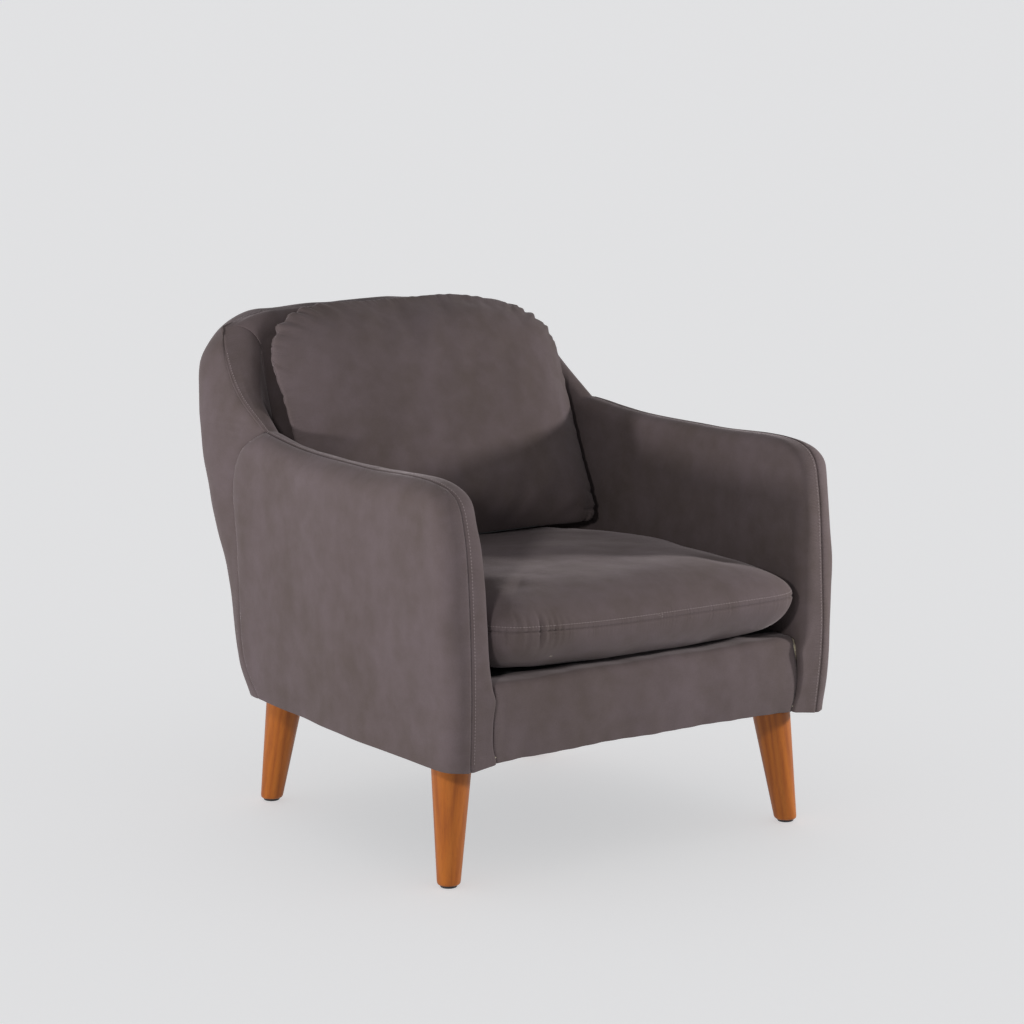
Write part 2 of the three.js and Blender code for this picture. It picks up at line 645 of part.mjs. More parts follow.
// foam behind the inside covers, from under the fabric to the frame
const FOAM_START = FABRIC + GAP;
const fromDeck = armInsideStations.filter((t) => t > FAN_START * ARM_SHARE + 0.01);
const armPadding = panel(
  armInside,
  fromDeck.slice(0, -1),
  [0.1, ...crossStations.slice(1, -1), 0.97],
  FOAM_START,
  FOAM_START + PADDING,
);
const railNotch = board(
  ARM_RAIL_OUTLINE.map(([x, y]) => [x - GAP, y]),
  ARM_RAIL.bottom - GAP,
  ARM_RAIL.top + GAP,
);
addPair('arm_padding', mainPiece(armPadding.subtract(railNotch)), foam);
const backFoam = panel(
  backInside,
  widened(backStations, -0.004, -0.004),
  [0.02, 0.25, 0.48],
  FOAM_START,
  FOAM_START + BACK_PADDING,
);
add('back_foam', backFoam, foam());

// ---- loose cushions ----
// a closed, crowned form: rings of points shrink from the seam to the middle, over and under
const RING_SIDES = 24;
function puffed(outline, over, under, rings) {
  const positions = [];
  const index = [];
  const ringAt = (scale, height) => {
    const start = positions.length / 3;
    for (let i = 0; i < RING_SIDES; i += 1) {
      const [x, y] = outline(i / RING_SIDES * 2 * Math.PI).map((value) => value * scale);
      positions.push(x, y, height(x, y, scale));
    }
    return start;
  };
  const bridge = (a, b, flip) => {
    for (let i = 0; i < RING_SIDES; i += 1) {
      const j = (i + 1) % RING_SIDES;
      const quad = [a + i, a + j, b + j, b + i];
      const [p, q, r, t] = flip ? quad.reverse() : quad;
      index.push(p, q, r, p, r, t);
    }
  };
  const seam = ringAt(1, () => 0);
  for (const [height, flip] of [[over, false], [(...at) => -under(...at), true]]) {
    let previous = seam;
    for (const scale of rings) {
      const next = ringAt(scale, height);
      bridge(previous, next, flip);
      previous = next;
    }
    const middle = positions.length / 3;
    positions.push(0, 0, height(0, 0, 0));
    for (let i = 0; i < RING_SIDES; i += 1) {
      const pair = [previous + i, previous + (i + 1) % RING_SIDES];
      index.push(...(flip ? pair.reverse() : pair), middle);
    }
  }
  const geometry = new THREE.BufferGeometry();
  geometry.setAttribute('position', new THREE.Float32BufferAttribute(positions, 3));
  geometry.setIndex(index);
  return solidOf(geometry);
}

const signedPower = (value, power) => Math.sign(value) * Math.abs(value) ** power;

// seat cushion, inset all round by a thickness
const CUSHION_HALF_DEPTH = (CUSHION.rear - CUSHION.front) / 2;
const CUSHION_MIDDLE = (CUSHION.rear + CUSHION.front) / 2;
const CUSHION_ROLL = 0.14; // share of the way to the middle over which the edge rolls
function cushionForm(inset) {
  const outline = (angle) => {
    const power = Math.sin(angle) > 0 ? 0.2 : 0.13;
    return [
      (CUSHION.halfWidth - inset) * signedPower(Math.cos(angle), power),
      (CUSHION_HALF_DEPTH - inset) * signedPower(Math.sin(angle), power),
    ];
  };
  const edge = (scale) => roll(1 - scale, CUSHION_ROLL);
  const over = (x, y, scale) => {
    const rearFall = 1 - 0.26 * smooth(y + CUSHION_MIDDLE, -150, 100);
    const sideFall = 1 - 0.14 * (x / CUSHION.halfWidth) ** 2;
    return (CUSHION.up * rearFall * sideFall - inset) * edge(scale);
  };
  const under = (x, y, scale) => (CUSHION.down - inset) * edge(scale);
  return puffed(outline, over, under, [0.985, 0.95, 0.87, 0.6, 0.3])
    .translate([0, CUSHION_MIDDLE, CUSHION.seam]);
}

// back cushion, made flat with its front towards +Z, then stood up and leaned
const PILLOW_CORNER_DROP = 9; // its lower corners hang below the middle of its lower edge
function pillowForm(inset) {
  const outline = (angle) => {
    const power = Math.sin(angle) > 0 ? 0.46 : 0.15;
    const y = (PILLOW.halfHeight - inset) * signedPower(Math.sin(angle), power);
    const width = PILLOW.halfWidth + PILLOW_TAPER * (y / PILLOW.halfHeight) - inset;
    const x = width * signedPower(Math.cos(angle), power);
    return [x, y > 0 ? y : y - PILLOW_CORNER_DROP * (x / width) ** 6];
  };
  const plump = (scale) => (1 - scale ** 3) ** 0.75;
  const forward = (x, y, scale) => (PILLOW.forward - inset) * plump(scale);
  const rearward = (x, y, scale) => (PILLOW.rearward - inset) * plump(scale);
  return puffed(outline, forward, rearward, [0.95, 0.86, 0.7, 0.45, 0.2]);
}
const stood = (solid) => solid
  .rotate([90 - THREE.MathUtils.radToDeg(PILLOW_LEAN), 0, 0])
  .translate(PILLOW_CENTRE.toArray());

const SEAT_ZIP_HALF = 190;
const zipSlot = box(
  [-SEAT_ZIP_HALF, CUSHION.rear - 12, CUSHION.seam - ZIP.width / 2],
  [SEAT_ZIP_HALF, CUSHION.rear + 5, CUSHION.seam + ZIP.width / 2],
);
const CORE_INSET = CASE_FABRIC + GAP;
add('seat_cushion_cover', cushionForm(0).subtract(cushionForm(CASE_FABRIC)).subtract(zipSlot), fabric());
add('seat_cushion_core', cushionForm(CORE_INSET), foam());

// a zip lies in its slot; its slider straddles it on the outside and carries a pull
function zipTape(half) {
  const width = ZIP.width - 2 * ZIP.margin;
  return box([ZIP.margin - half, 0, -width / 2], [half - ZIP.margin, ZIP.thickness, width / 2]);
}
const SLIDER = { length: 12, height: 9, depth: 2.6, pull: 20 };
function zipSlider() {
  const body = box([0, 0, -SLIDER.height / 2], [SLIDER.length, SLIDER.depth, SLIDER.height / 2]);
  const pull = box(
    [SLIDER.length / 2 - 2.5, SLIDER.depth - 1.2, -SLIDER.pull],
    [SLIDER.length / 2 + 2.5, SLIDER.depth, 0],
  );
  return body.add(pull);
}
const TAPE_Y = CUSHION.rear - CORE_INSET + GAP;
const SLIDER_Y = TAPE_Y + ZIP.thickness + GAP;
add('seat_zip', zipTape(SEAT_ZIP_HALF).translate([0, TAPE_Y, CUSHION.seam]), blackPlastic());
const SEAT_SLIDER_START = v3(10 - SEAT_ZIP_HALF, SLIDER_Y + GAP, CUSHION.seam);
add('seat_zip_slider', zipSlider().translate(SEAT_SLIDER_START.toArray()), zincSteel());

const BACK_ZIP_HALF = 150;
const pillowSlot = box(
  [-BACK_ZIP_HALF, -PILLOW.halfHeight - 5, -ZIP.width / 2],
  [BACK_ZIP_HALF, -PILLOW.halfHeight + 12, ZIP.width / 2],
);
const pillowCover = pillowForm(0).subtract(pillowForm(CASE_FABRIC)).subtract(pillowSlot);
add('back_cushion_cover', stood(pillowCover), fabric());
add('back_cushion_fill', stood(pillowForm(CORE_INSET)), foam());
const BACK_TAPE_TOP = CORE_INSET - PILLOW.halfHeight - 4 * GAP;
const tapeDown = zipTape(BACK_ZIP_HALF).translate([0, BACK_TAPE_TOP - ZIP.thickness, 0]);
add('back_zip', stood(tapeDown), blackPlastic());
const BACK_SLIDER_START = 10 - BACK_ZIP_HALF;
const flatSlider = box(
  [BACK_SLIDER_START, -PILLOW.halfHeight - SLIDER.depth, -SLIDER.height / 2],
  [BACK_SLIDER_START + SLIDER.length, BACK_TAPE_TOP - ZIP.thickness - GAP, SLIDER.height / 2],
);
add('back_zip_slider', stood(flatSlider), zincSteel());

export default armchair;
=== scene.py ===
"""The looks of an upholstered lounge armchair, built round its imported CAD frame.

Lengths in the code are millimetres, unless they are said to be metres.
"""

import json
import math

import bpy
import numpy as np
from mathutils import Matrix, Vector
from mathutils.bvhtree import BVHTree


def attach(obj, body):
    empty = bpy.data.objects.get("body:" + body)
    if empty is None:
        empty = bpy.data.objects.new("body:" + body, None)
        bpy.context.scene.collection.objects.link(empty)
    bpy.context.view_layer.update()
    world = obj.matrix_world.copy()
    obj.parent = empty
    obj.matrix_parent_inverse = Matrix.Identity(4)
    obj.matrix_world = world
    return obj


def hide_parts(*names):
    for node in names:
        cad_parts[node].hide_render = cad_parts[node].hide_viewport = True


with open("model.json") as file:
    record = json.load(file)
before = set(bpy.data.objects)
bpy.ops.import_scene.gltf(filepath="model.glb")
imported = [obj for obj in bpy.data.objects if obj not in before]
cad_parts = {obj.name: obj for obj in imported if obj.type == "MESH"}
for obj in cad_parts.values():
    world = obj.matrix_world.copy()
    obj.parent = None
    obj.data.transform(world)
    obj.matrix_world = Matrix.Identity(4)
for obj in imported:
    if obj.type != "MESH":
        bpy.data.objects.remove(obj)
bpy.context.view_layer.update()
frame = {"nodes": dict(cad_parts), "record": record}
NODES = frame["nodes"]
MM = 0.001

# ---- the chair's driving dimensions, as in its CAD model ----
HEM, BASE = 196.0, 300.0
BACK_BASE_Y = 183.0
ARM_FACE_X, ARM_ROLL = 376.0, 36.0
ARM_INNER_X, ARM_INNER_ROUND = 295.0, 24.0
FRONT_FACE_Y, FRAME_FRONT = -404.0, -380.0
RAIL_COVER_X, RAIL_COVER_TOP, RAIL_COVER_ROUND, RAIL_COVER_REAR = 294.4, 315.0, 14.0, -352.0
DECK_TOP = 314.3
ARM_CORNER, ARM_SHARE, FAN_START = 0.45, 0.78, 0.1
WRAP_SPLIT, TOP_CORNER, INNER_FILLET = 0.6, 110.0, 45.0
CLOTH = 2.6  # thickness of the covers


# ---- helpers ----
def mix(a, b, t):
    return a + (b - a) * t


def smooth(x, low, high):
    t = np.clip((np.asarray(x, float) - low) / (high - low), 0, 1)
    return t * t * (3 - 2 * t)


def vec(*values):
    """A vector field from numbers and arrays of one shape."""
    return np.stack(np.broadcast_arrays(*[np.asarray(v, float) for v in values]), axis=-1)


def unit(vectors):
    return vectors / np.maximum(np.linalg.norm(vectors, axis=-1, keepdims=True), 1e-9)


def bell(x, middle, width):
    return np.exp(-(((x - middle) / width) ** 2))


def running(line):
    """The distance along a line of points, from its start."""
    return np.concatenate([[0], np.cumsum(np.linalg.norm(np.diff(line, axis=0), axis=1))])


def round_angles(count):
    return np.linspace(0, 2 * math.pi, count, endpoint=False)


def read_line(values, along, where):
    """Values in three columns, read at places along a line."""
    return np.stack([np.interp(where, along, values[:, k]) for k in range(3)], axis=-1)


SEAM_SAMPLES, TANGENT_STEP = 160, 0.004


class Seam:
    """A centripetal Catmull-Rom curve through points, read by its share of length."""

    def __init__(self, *points):
        p = np.array(points, float)
        p = np.vstack([2 * p[0] - p[1], p, 2 * p[-1] - p[-2]])
        dense = []
        for i in range(1, len(p) - 2):
            dense.append(self.segment(p[i - 1 : i + 3], np.linspace(0, 1, SEAM_SAMPLES)[:-1]))
        self.dense = np.vstack(dense + [p[-2]])
        along = running(self.dense)
        self.length = along[-1]
        self.along = along / along[-1]

    @staticmethod
    def segment(q, t):
        d0, d1, d2 = (np.linalg.norm(q[i + 1] - q[i]) ** 0.5 for i in range(3))
        start = ((q[1] - q[0]) / d0 - (q[2] - q[0]) / (d0 + d1) + (q[2] - q[1]) / d1) * d1
        end = ((q[2] - q[1]) / d1 - (q[3] - q[1]) / (d1 + d2) + (q[3] - q[2]) / d2) * d1
        t = t[:, None]
        square = -3 * q[1] + 3 * q[2] - 2 * start - end
        cube = 2 * q[1] - 2 * q[2] + start + end
        return q[1] + start * t + square * t**2 + cube * t**3

    def at(self, t):
        return read_line(self.dense, self.along, np.clip(np.asarray(t, float), 0, 1))

    def tangent(self, t):
        t = np.asarray(t, float)
        return unit(self.at(t + TANGENT_STEP) - self.at(t - TANGENT_STEP))


def wobble(points, size, seed, waves=7):
    """Smooth noise of about -1 to 1 with bumps of that size, from seeded plane waves."""
    rng = np.random.default_rng(seed)
    total = np.zeros(points.shape[:-1])
    for _ in range(waves):
        direction = unit(rng.normal(size=3)) * rng.uniform(0.7, 1.4) * 2 * math.pi / size
        total += np.sin(points @ direction + rng.uniform(0, 2 * math.pi))
    return total / math.sqrt(waves)


def slack(points, *parts):
    """Slack in cloth: the sum of wobbles, given as a height, size and seed each."""
    return sum(height * wobble(points, size, seed) for height, size, seed in parts)


# ---- seams ----
arm_seam = Seam(
    (331, -408, HEM - 7), (335, -417, 300), (335, -413, 430), (336, -402, 545), (338, -386, 593),
    (341, -342, 613), (337, -141, 611), (328, 55, 613), (322, 167, 624),
)
junction = arm_seam.at(1)
rear_seam = Seam(
    (345, 163, HEM), (347, 203, 256), (342, 221, 441), (337, 234, 530), (331, 216, 584), junction
)
wing_seam = Seam(junction, (321, 249, 675), (311, 300, 722), (292, 343, 768))
spine = Seam(
    (0, 298, HEM), (0, 314, 222), (0, 372, 450), (0, 411, 600), (0, 431, 705), (0, 423, 760),
    (0, 390, 787), (0, 352, 787),
)


# ---- surfaces of the covers on the right side, for u and v from 0 to 1 ----
def turned(distance, width):
    return 1 - (1 - np.clip(distance / width, 0, 1)) ** 2


def roll(distance, width):
    return np.sqrt(turned(distance, width))


def arm_outside(u, v):
    front, rear = arm_seam.at(ARM_CORNER * v), rear_seam.at(v)
    top, corner = arm_seam.at(mix(ARM_CORNER, 1, u)), arm_seam.at(ARM_CORNER)
    uu, vv = u[..., None], v[..., None]
    point = mix(front, rear, uu) + top * vv - corner * (1 - uu) * vv - junction * uu * vv
    hem_tuck = 12 * (1 - smooth(point[..., 2], HEM - 40, HEM + 270))
    face = ARM_FACE_X - 22 * smooth(point[..., 1], -170, 230) - hem_tuck
    swell = (
        roll(point[..., 1] - front[..., 1], ARM_ROLL)
        * roll(top[..., 2] - point[..., 2], ARM_ROLL)
        * roll(rear[..., 1] - point[..., 1], ARM_ROLL)
    )
    point[..., 0] = mix(point[..., 0], np.maximum(face, point[..., 0]), swell)
    return point


EASING = np.linspace(-0.14, 0.14, 11)


def side_edge(v):
    """The side edge of the outside back: the arm's rear seam, then the wing seam."""
    low = (v < WRAP_SPLIT)[..., None]
    return np.where(low, rear_seam.at(v / WRAP_SPLIT), wing_seam.at((v - WRAP_SPLIT) / (1 - WRAP_SPLIT)))


def back_outside(u, v):
    side = np.where(u < 0.5, 1, -1)
    turn = (1 - np.abs(2 * u - 1)) * math.pi / 2
    edge = side_edge(v)
    eased = sum(side_edge(np.clip(v + shift, 0, 1)) for shift in EASING) / len(EASING)
    eased = mix(edge, eased, (smooth(v, 0.3, 0.5) * (1 - smooth(v, 0.75, 0.95)))[..., None])
    edge = mix(edge, eased, smooth(turn, 0, 0.45)[..., None])
    middle = spine.at(v)
    roundness = mix(0.9, 0.48, smooth(v, 0.05, WRAP_SPLIT))
    across = np.maximum(np.cos(turn), 0) ** roundness
    shoulder = turned(edge[..., 0] * (1 - across), TOP_CORNER)
    rearward = mix(np.sin(turn) ** roundness, shoulder, smooth(v, 0.8, 1))
    swell = 26 * smooth(v, 0.2, 0.62) * (1 - smooth(v, 0.66, 1))
    bulge = swell * np.sqrt(np.maximum(np.sin(2 * turn), 0))
    return vec(
        side * (edge[..., 0] * across + bulge),
        mix(edge[..., 1], middle[..., 1], rearward),
        mix(edge[..., 2], middle[..., 2], rearward),
    )


def rail_end(z):
    """Half the width of the rail's cover at a height: its end seams bow outwards."""
    return RAIL_COVER_X - 10 * np.clip((z - 254) / 58, -1, 1) ** 2


def cross_line(seam, offsets, base, w):
    """From the seam over the roll and down the inside face, for w from 0 to 1."""
    start, corner, end = (seam + offset for offset in offsets)
    w = w[..., None]
    k = np.clip((w - 0.2) / 0.3, 0, 1)
    rolled = (1 - k) ** 2 * start + 2 * k * (1 - k) * corner + k**2 * end
    wall = mix(end, base, (w - 0.5) / 0.5)
    return np.where(w < 0.2, mix(seam, start, w / 0.2), np.where(w < 0.5, rolled, wall))


CORNER_SEAM = wing_seam.at(1)
CORNER_OFFSETS = np.array([(-17, -15, 2), (-37, -38, 1), (-41, -50, -28)], float)
CORNER_BASE = np.array([257, BACK_BASE_Y - 17, BASE])
BACK_OFFSETS = np.array([(0, -22, 4), (0, -52, 6), (0, -44, -30)], float)
TOP_CENTRE = spine.at(1)


def flare(z):
    """How much thinner the arm's inner side gets towards its top."""
    return 9 * smooth(z, 330, 545)


def arm_inside(u, v):
    on_arm = (u < ARM_SHARE)[..., None]
    arm_t, wing_t = u / ARM_SHARE, (u - ARM_SHARE) / (1 - ARM_SHARE)
    seam = np.where(on_arm, arm_seam.at(arm_t), wing_seam.at(wing_t))
    tangent = np.where(on_arm, arm_seam.tangent(arm_t), wing_seam.tangent(wing_t))
    inward = unit(vec(0, tangent[..., 2], -tangent[..., 1]))
    reach = (RAIL_COVER_X - rail_end(seam[..., 2])) * (1 - smooth(seam[..., 2], 285, 312))
    on_wing = smooth(u, ARM_SHARE - 0.2, ARM_SHARE)
    width = seam[..., 0] - ARM_INNER_X + reach - flare(seam[..., 2]) * (1 - on_wing)
    corner_round = mix(6.0, ARM_INNER_ROUND, smooth(seam[..., 2], 290, 345))
    hem_rise = 7 * (1 - smooth(seam[..., 2], HEM - 7, HEM + 40))
    start = vec(corner_round - width, 0, 0.8 * hem_rise)
    corner = vec(-width, 0, hem_rise)
    end = corner + corner_round[..., None] * inward
    wing = smooth(u, ARM_SHARE - 0.06, 1)
    offsets = [mix(a, b, wing[..., None]) for a, b in zip((start, corner, end), CORNER_OFFSETS)]
    arm_u = np.minimum(arm_t, 1)
    base = vec(
        ARM_INNER_X,
        mix(FRAME_FRONT - 3, 110, smooth(arm_u, FAN_START + 0.04, 1)),
        np.where(arm_u < FAN_START, mix(HEM, BASE, arm_u / FAN_START), BASE),
    )
    base = mix(base, CORNER_BASE, wing[..., None])
    return cross_line(seam, offsets, base, v)


def back_inside(u, v):
    side = np.where(u < 0.5, -1, 1)
    across = np.abs(2 * u - 1)
    from_side = (1 - across) * CORNER_SEAM[0]
    shoulder = turned(from_side, TOP_CORNER)
    seam = vec(
        CORNER_SEAM[0] * across,
        mix(CORNER_SEAM[1], TOP_CENTRE[1], shoulder),
        mix(CORNER_SEAM[2], TOP_CENTRE[2], shoulder),
    )
    offsets = [mix(a, b, shoulder[..., None]) for a, b in zip(CORNER_OFFSETS, BACK_OFFSETS)]
    offsets = [o * vec(across, 1, 1) for o in offsets]
    fillet = turned(from_side, INNER_FILLET)
    base = vec(CORNER_BASE[0] * across, mix(CORNER_BASE[1], BACK_BASE_Y, fillet), BASE)
    point = cross_line(seam, offsets, base, 1 - v)
    point[..., 0] *= side
    return point


def rail_front(u, v):
    straight = RAIL_COVER_TOP - RAIL_COVER_ROUND
    turn = np.clip((v - 0.6) / 0.2, 0, 1) * math.pi / 2
    rise = np.clip(v / 0.6, 0, 1)
    end = mix(rail_end(mix(HEM, straight, rise)), RAIL_COVER_X, np.clip((v - 0.6) / 0.4, 0, 1))
    x = end * (2 * u - 1)
    puff = 5 * np.sin(math.pi * rise) * (1 - 0.6 * np.abs(2 * u - 1) ** 6)
    y = FRONT_FACE_Y - puff + RAIL_COVER_ROUND * (1 - np.cos(turn))
    y = mix(y, RAIL_COVER_REAR, np.clip((v - 0.8) / 0.2, 0, 1))
    hem = HEM + 4 * (1 - np.abs(2 * u - 1) ** 3)
    z = mix(hem, straight, rise) + RAIL_COVER_ROUND * np.sin(turn)
    return vec(x, y, z)


def settled(points):
    """The covers' points with the top of the back sunk a little at its right corner, as in use."""
    sunk = points.copy()
    sunk[..., 2] -= 9.5 * smooth(points[..., 0], 30, 190) * smooth(points[..., 2], 690, 785)
    return sunk


# ---- meshes ----
def linked(name, data):
    """A new object in the scene."""
    obj = bpy.data.objects.new(name, data)
    bpy.context.scene.collection.objects.link(obj)
    return obj


def mesh_object(name, points, faces, material, body, uv=None):
    """A smooth-shaded object from points in millimetres."""
    mesh = bpy.data.meshes.new(name)
    mesh.from_pydata((np.asarray(points, float) * MM).tolist(), [], [list(map(int, f)) for f in faces])
    mesh.polygons.foreach_set("use_smooth", [True] * len(mesh.polygons))
    mesh.materials.append(material)
    if uv is not None:
        layer = mesh.uv_layers.new(name="seam")
        loops = np.zeros(len(mesh.loops), np.int32)
        mesh.loops.foreach_get("vertex_index", loops)
        layer.data.foreach_set("uv", np.asarray(uv, float)[loops].ravel())
    mesh.update()
    obj = linked(name, mesh)
    if body:
        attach(obj, body)
    return obj


def quads_of(at, flip=False):
    """Faces between neighbours in a grid of point numbers."""
    quads = np.stack([at[:-1, :-1], at[:-1, 1:], at[1:, 1:], at[1:, :-1]], axis=-1).reshape(-1, 4)
    return quads[:, ::-1] if flip else quads


def numbered(rows, cols):
    return np.arange(rows * cols).reshape(rows, cols)


def tube_faces(rings, sides, looped=False):
    """Faces between neighbouring rings of points."""
    faces = []
    for i in range(rings if looped else rings - 1):
        for j in range(sides):
            k, n = (j + 1) % sides, (i + 1) % rings
            faces.append([i * sides + j, i * sides + k, n * sides + k, n * sides + j])
    return faces


def end_faces(rings, sides):
    """Flat faces over the first and last ring."""
    last = (rings - 1) * sides
    return [list(range(sides))[::-1], list(range(last, last + sides))]


def closed_sheet(outer, inner):
    """Points and faces of a thin closed sheet from its outer and inner grids."""
    at = numbered(*outer.shape[:2])
    rim = np.concatenate([at[0, :-1], at[:-1, -1], at[-1, :0:-1], at[:0:-1, 0]])
    after = np.roll(rim, -1)
    sides = np.stack([after, rim, rim + at.size, after + at.size], axis=-1)
    faces = np.vstack([quads_of(at), quads_of(at + at.size, True), sides])
    return np.vstack([outer.reshape(-1, 3), inner.reshape(-1, 3)]), faces


def normals_of(grid):
    """Outward normals of a grid of points with u along its columns and v up its rows."""
    return unit(np.cross(np.gradient(grid, axis=1), np.gradient(grid, axis=0)))


def run_lengths(grid, axis):
    """The distance along one axis of a grid, from its first row or column."""
    steps = np.linalg.norm(np.diff(grid, axis=axis), axis=-1)
    start = np.zeros_like(np.take(steps, [0], axis=axis))
    return np.concatenate([start, np.cumsum(steps, axis=axis)], axis=axis)


def graded(length, coarse, fine=0.7, reach=9):
    """Shares from 0 to 1 along that length, closely spaced near both ends."""
    near = np.cumsum(np.concatenate([[0], np.linspace(fine, coarse, int(2 * reach / (fine + coarse)))]))
    near = near[near < length / 3]
    count = max(2, round((length - 2 * near[-1]) / coarse))
    middle = np.linspace(near[-1], length - near[-1], count + 1)
    return np.concatenate([near[:-1], middle, length - near[:-1][::-1]]) / length


SEAM_RADIUS, SEAM_REACH = 2.4, 1.25 * 2.4  # depth of a sewn groove, and how far from the seam it starts


def seam_dip(distance):
    """How far the cover turns down into a seam that is that far away."""
    t = np.clip(distance / SEAM_REACH, 0, 1)
    return SEAM_RADIUS * (1 - np.sqrt(1 - (1 - t) ** 2))


STITCH_LENGTH, STITCH_PITCH, STITCH_RADIUS, STITCH_SINK, STITCH_SIDES = 3.1, 5.0, 0.5, 0.15, 6
STITCH_ENDS = np.array([-1, -0.86, -0.5, 0, 0.5, 0.86, 1])  # where its rings are, in half lengths
STITCH_GIRTH = np.array([0.25, 0.75, 1, 1.08, 1, 0.75, 0.25])
STITCH_ARCH = STITCH_RADIUS * 0.9 * (1 - STITCH_ENDS**2) - STITCH_RADIUS * 0.5


def stitches(name, line, normals, body):
    """A row of separate stitches that stand a little proud of the cover along a line."""
    along = running(line)
    where = np.arange(STITCH_PITCH / 2, along[-1], STITCH_PITCH)
    at, up = read_line(line, along, where), unit(read_line(normals, along, where))
    forward = unit(np.gradient(at, axis=0))
    side = unit(np.cross(up, forward))
    one = tube_faces(len(STITCH_ENDS), STITCH_SIDES) + end_faces(len(STITCH_ENDS), STITCH_SIDES)
    points, faces = [], []
    for n in range(len(at)):
        faces += [[len(points) + number for number in face] for face in one]
        for end, arch, girth in zip(STITCH_ENDS, STITCH_ARCH, STITCH_GIRTH):
            centre = at[n] + forward[n] * end * STITCH_LENGTH / 2 + up[n] * (arch - STITCH_SINK)
            for angle in round_angles(STITCH_SIDES):
                offset = side[n] * math.cos(angle) + up[n] * math.sin(angle) * 0.8
                points.append(centre + offset * STITCH_RADIUS * girth)
    return mesh_object(name, points, faces, thread, body)


# ---- materials ----
class Looks:
    """A material whose nodes take values, or other nodes' outputs, as their inputs."""

    def __init__(self, name):
        self.material = bpy.data.materials.new(name)
        self.material.use_nodes = True
        self.tree = self.material.node_tree
        self.place = self.node("TexCoord", {}).outputs["Object"]

    def fill(self, node, inputs):
        for key, value in inputs.items():
            if isinstance(value, bpy.types.NodeSocket):
                self.tree.links.new(value, node.inputs[key])
            else:
                node.inputs[key].default_value = value

    def node(self, kind, inputs, **settings):
        made = self.tree.nodes.new("ShaderNode" + kind)
        for key, value in settings.items():
            setattr(made, key, value)
        self.fill(made, inputs)
        return made

    def stretched(self, scale):
        """The place on the object, times a scale along each axis."""
        return self.node("Mapping", {"Vector": self.place, "Scale": scale}).outputs["Vector"]

    def noise(self, place, scale, detail=2, roughness=0.5):
        inputs = {"Vector": place, "Scale": scale, "Detail": detail, "Roughness": roughness}
        return self.node("TexNoise", inputs).outputs["Fac"]

    def math(self, operation, a, b):
        return self.node("Math", {0: a, 1: b}, operation=operation).outputs[0]

    def blend(self, *parts):
        """The sum of outputs, each times its weight."""
        terms = [self.math("MULTIPLY", output, weight) for output, weight in parts]
        total = terms[0]
        for term in terms[1:]:
            total = self.math("ADD", total, term)
        return total

    def ramp(self, factor, *stops):
        """A colour or grey for each value of a factor, from stops of a value and a colour or grey."""
        node = self.node("ValToRGB", {"Fac": factor})
        elements = node.color_ramp.elements
        while len(elements) < len(stops):
            elements.new(0.5)
        for element, (position, colour) in zip(elements, stops):
            element.position = position
            element.color = (*colour, 1) if isinstance(colour, tuple) else (colour, colour, colour, 1)
        return node.outputs["Color"]

    def times(self, a, b):
        inputs = {"Factor": 1.0, "A": a, "B": b}
        return self.node("Mix", inputs, data_type="RGBA", blend_type="MULTIPLY").outputs["Result"]

    def bump(self, height, strength, distance, **under):
        """A relief of that height on the surface, or on the relief given as Normal."""
        inputs = {"Height": height, "Strength": strength, "Distance": distance, **under}
        return self.node("Bump", inputs).outputs["Normal"]

    def shaded(self, inputs):
        """The finished material, with those inputs of its shader."""
        self.fill(self.tree.nodes["Principled BSDF"], inputs)
        return self.material


def suede(name, brown, mauve, sheen):
    """Short-napped velvet, with cloudy patches where the nap lies over and puckers along its seams."""
    looks = Looks(name)
    cloud = looks.noise(looks.stretched((1.0, 1.0, 0.45)), 9.0, 3, 0.55)
    patch = looks.noise(looks.place, 34.0)
    fibre = looks.noise(looks.place, 900.0, 2, 0.6)
    colour = looks.ramp(looks.blend((cloud, 0.62), (patch, 0.38)), (0.34, brown), (0.66, mauve))
    speck = looks.ramp(fibre, (0.3, 0.9), (0.7, 1.08))
    # the uv map holds centimetres along the nearest seam and away from it
    seam = looks.node("SeparateXYZ", {"Vector": looks.node("UVMap", {}, uv_map="seam").outputs["UV"]})
    gathers = {"W": seam.outputs["X"], "Scale": 2.4, "Detail": 1.5}
    gathers = looks.node("TexNoise", gathers, noise_dimensions="1D").outputs["Fac"]
    away = looks.math("DIVIDE", seam.outputs["Y"], 3.0)
    fade = looks.ramp(away, (0.0, 0.5), (0.14, 1.0), (0.26, 0.75), (0.8, 0.0))
    normal = looks.bump(looks.math("MULTIPLY", gathers, fade), 0.55, 0.0016)
    normal = looks.bump(fibre, 0.35, 0.0004, Normal=normal)
    normal = looks.bump(patch, 0.25, 0.003, Normal=normal)
    nap = {"Sheen Weight": 0.16, "Sheen Roughness": 0.38, "Sheen Tint": (*sheen, 1)}
    matt = {"Roughness": 0.95, "Specular IOR Level": 0.12}
    return looks.shaded({"Base Color": looks.times(colour, speck), "Normal": normal, **nap, **matt})


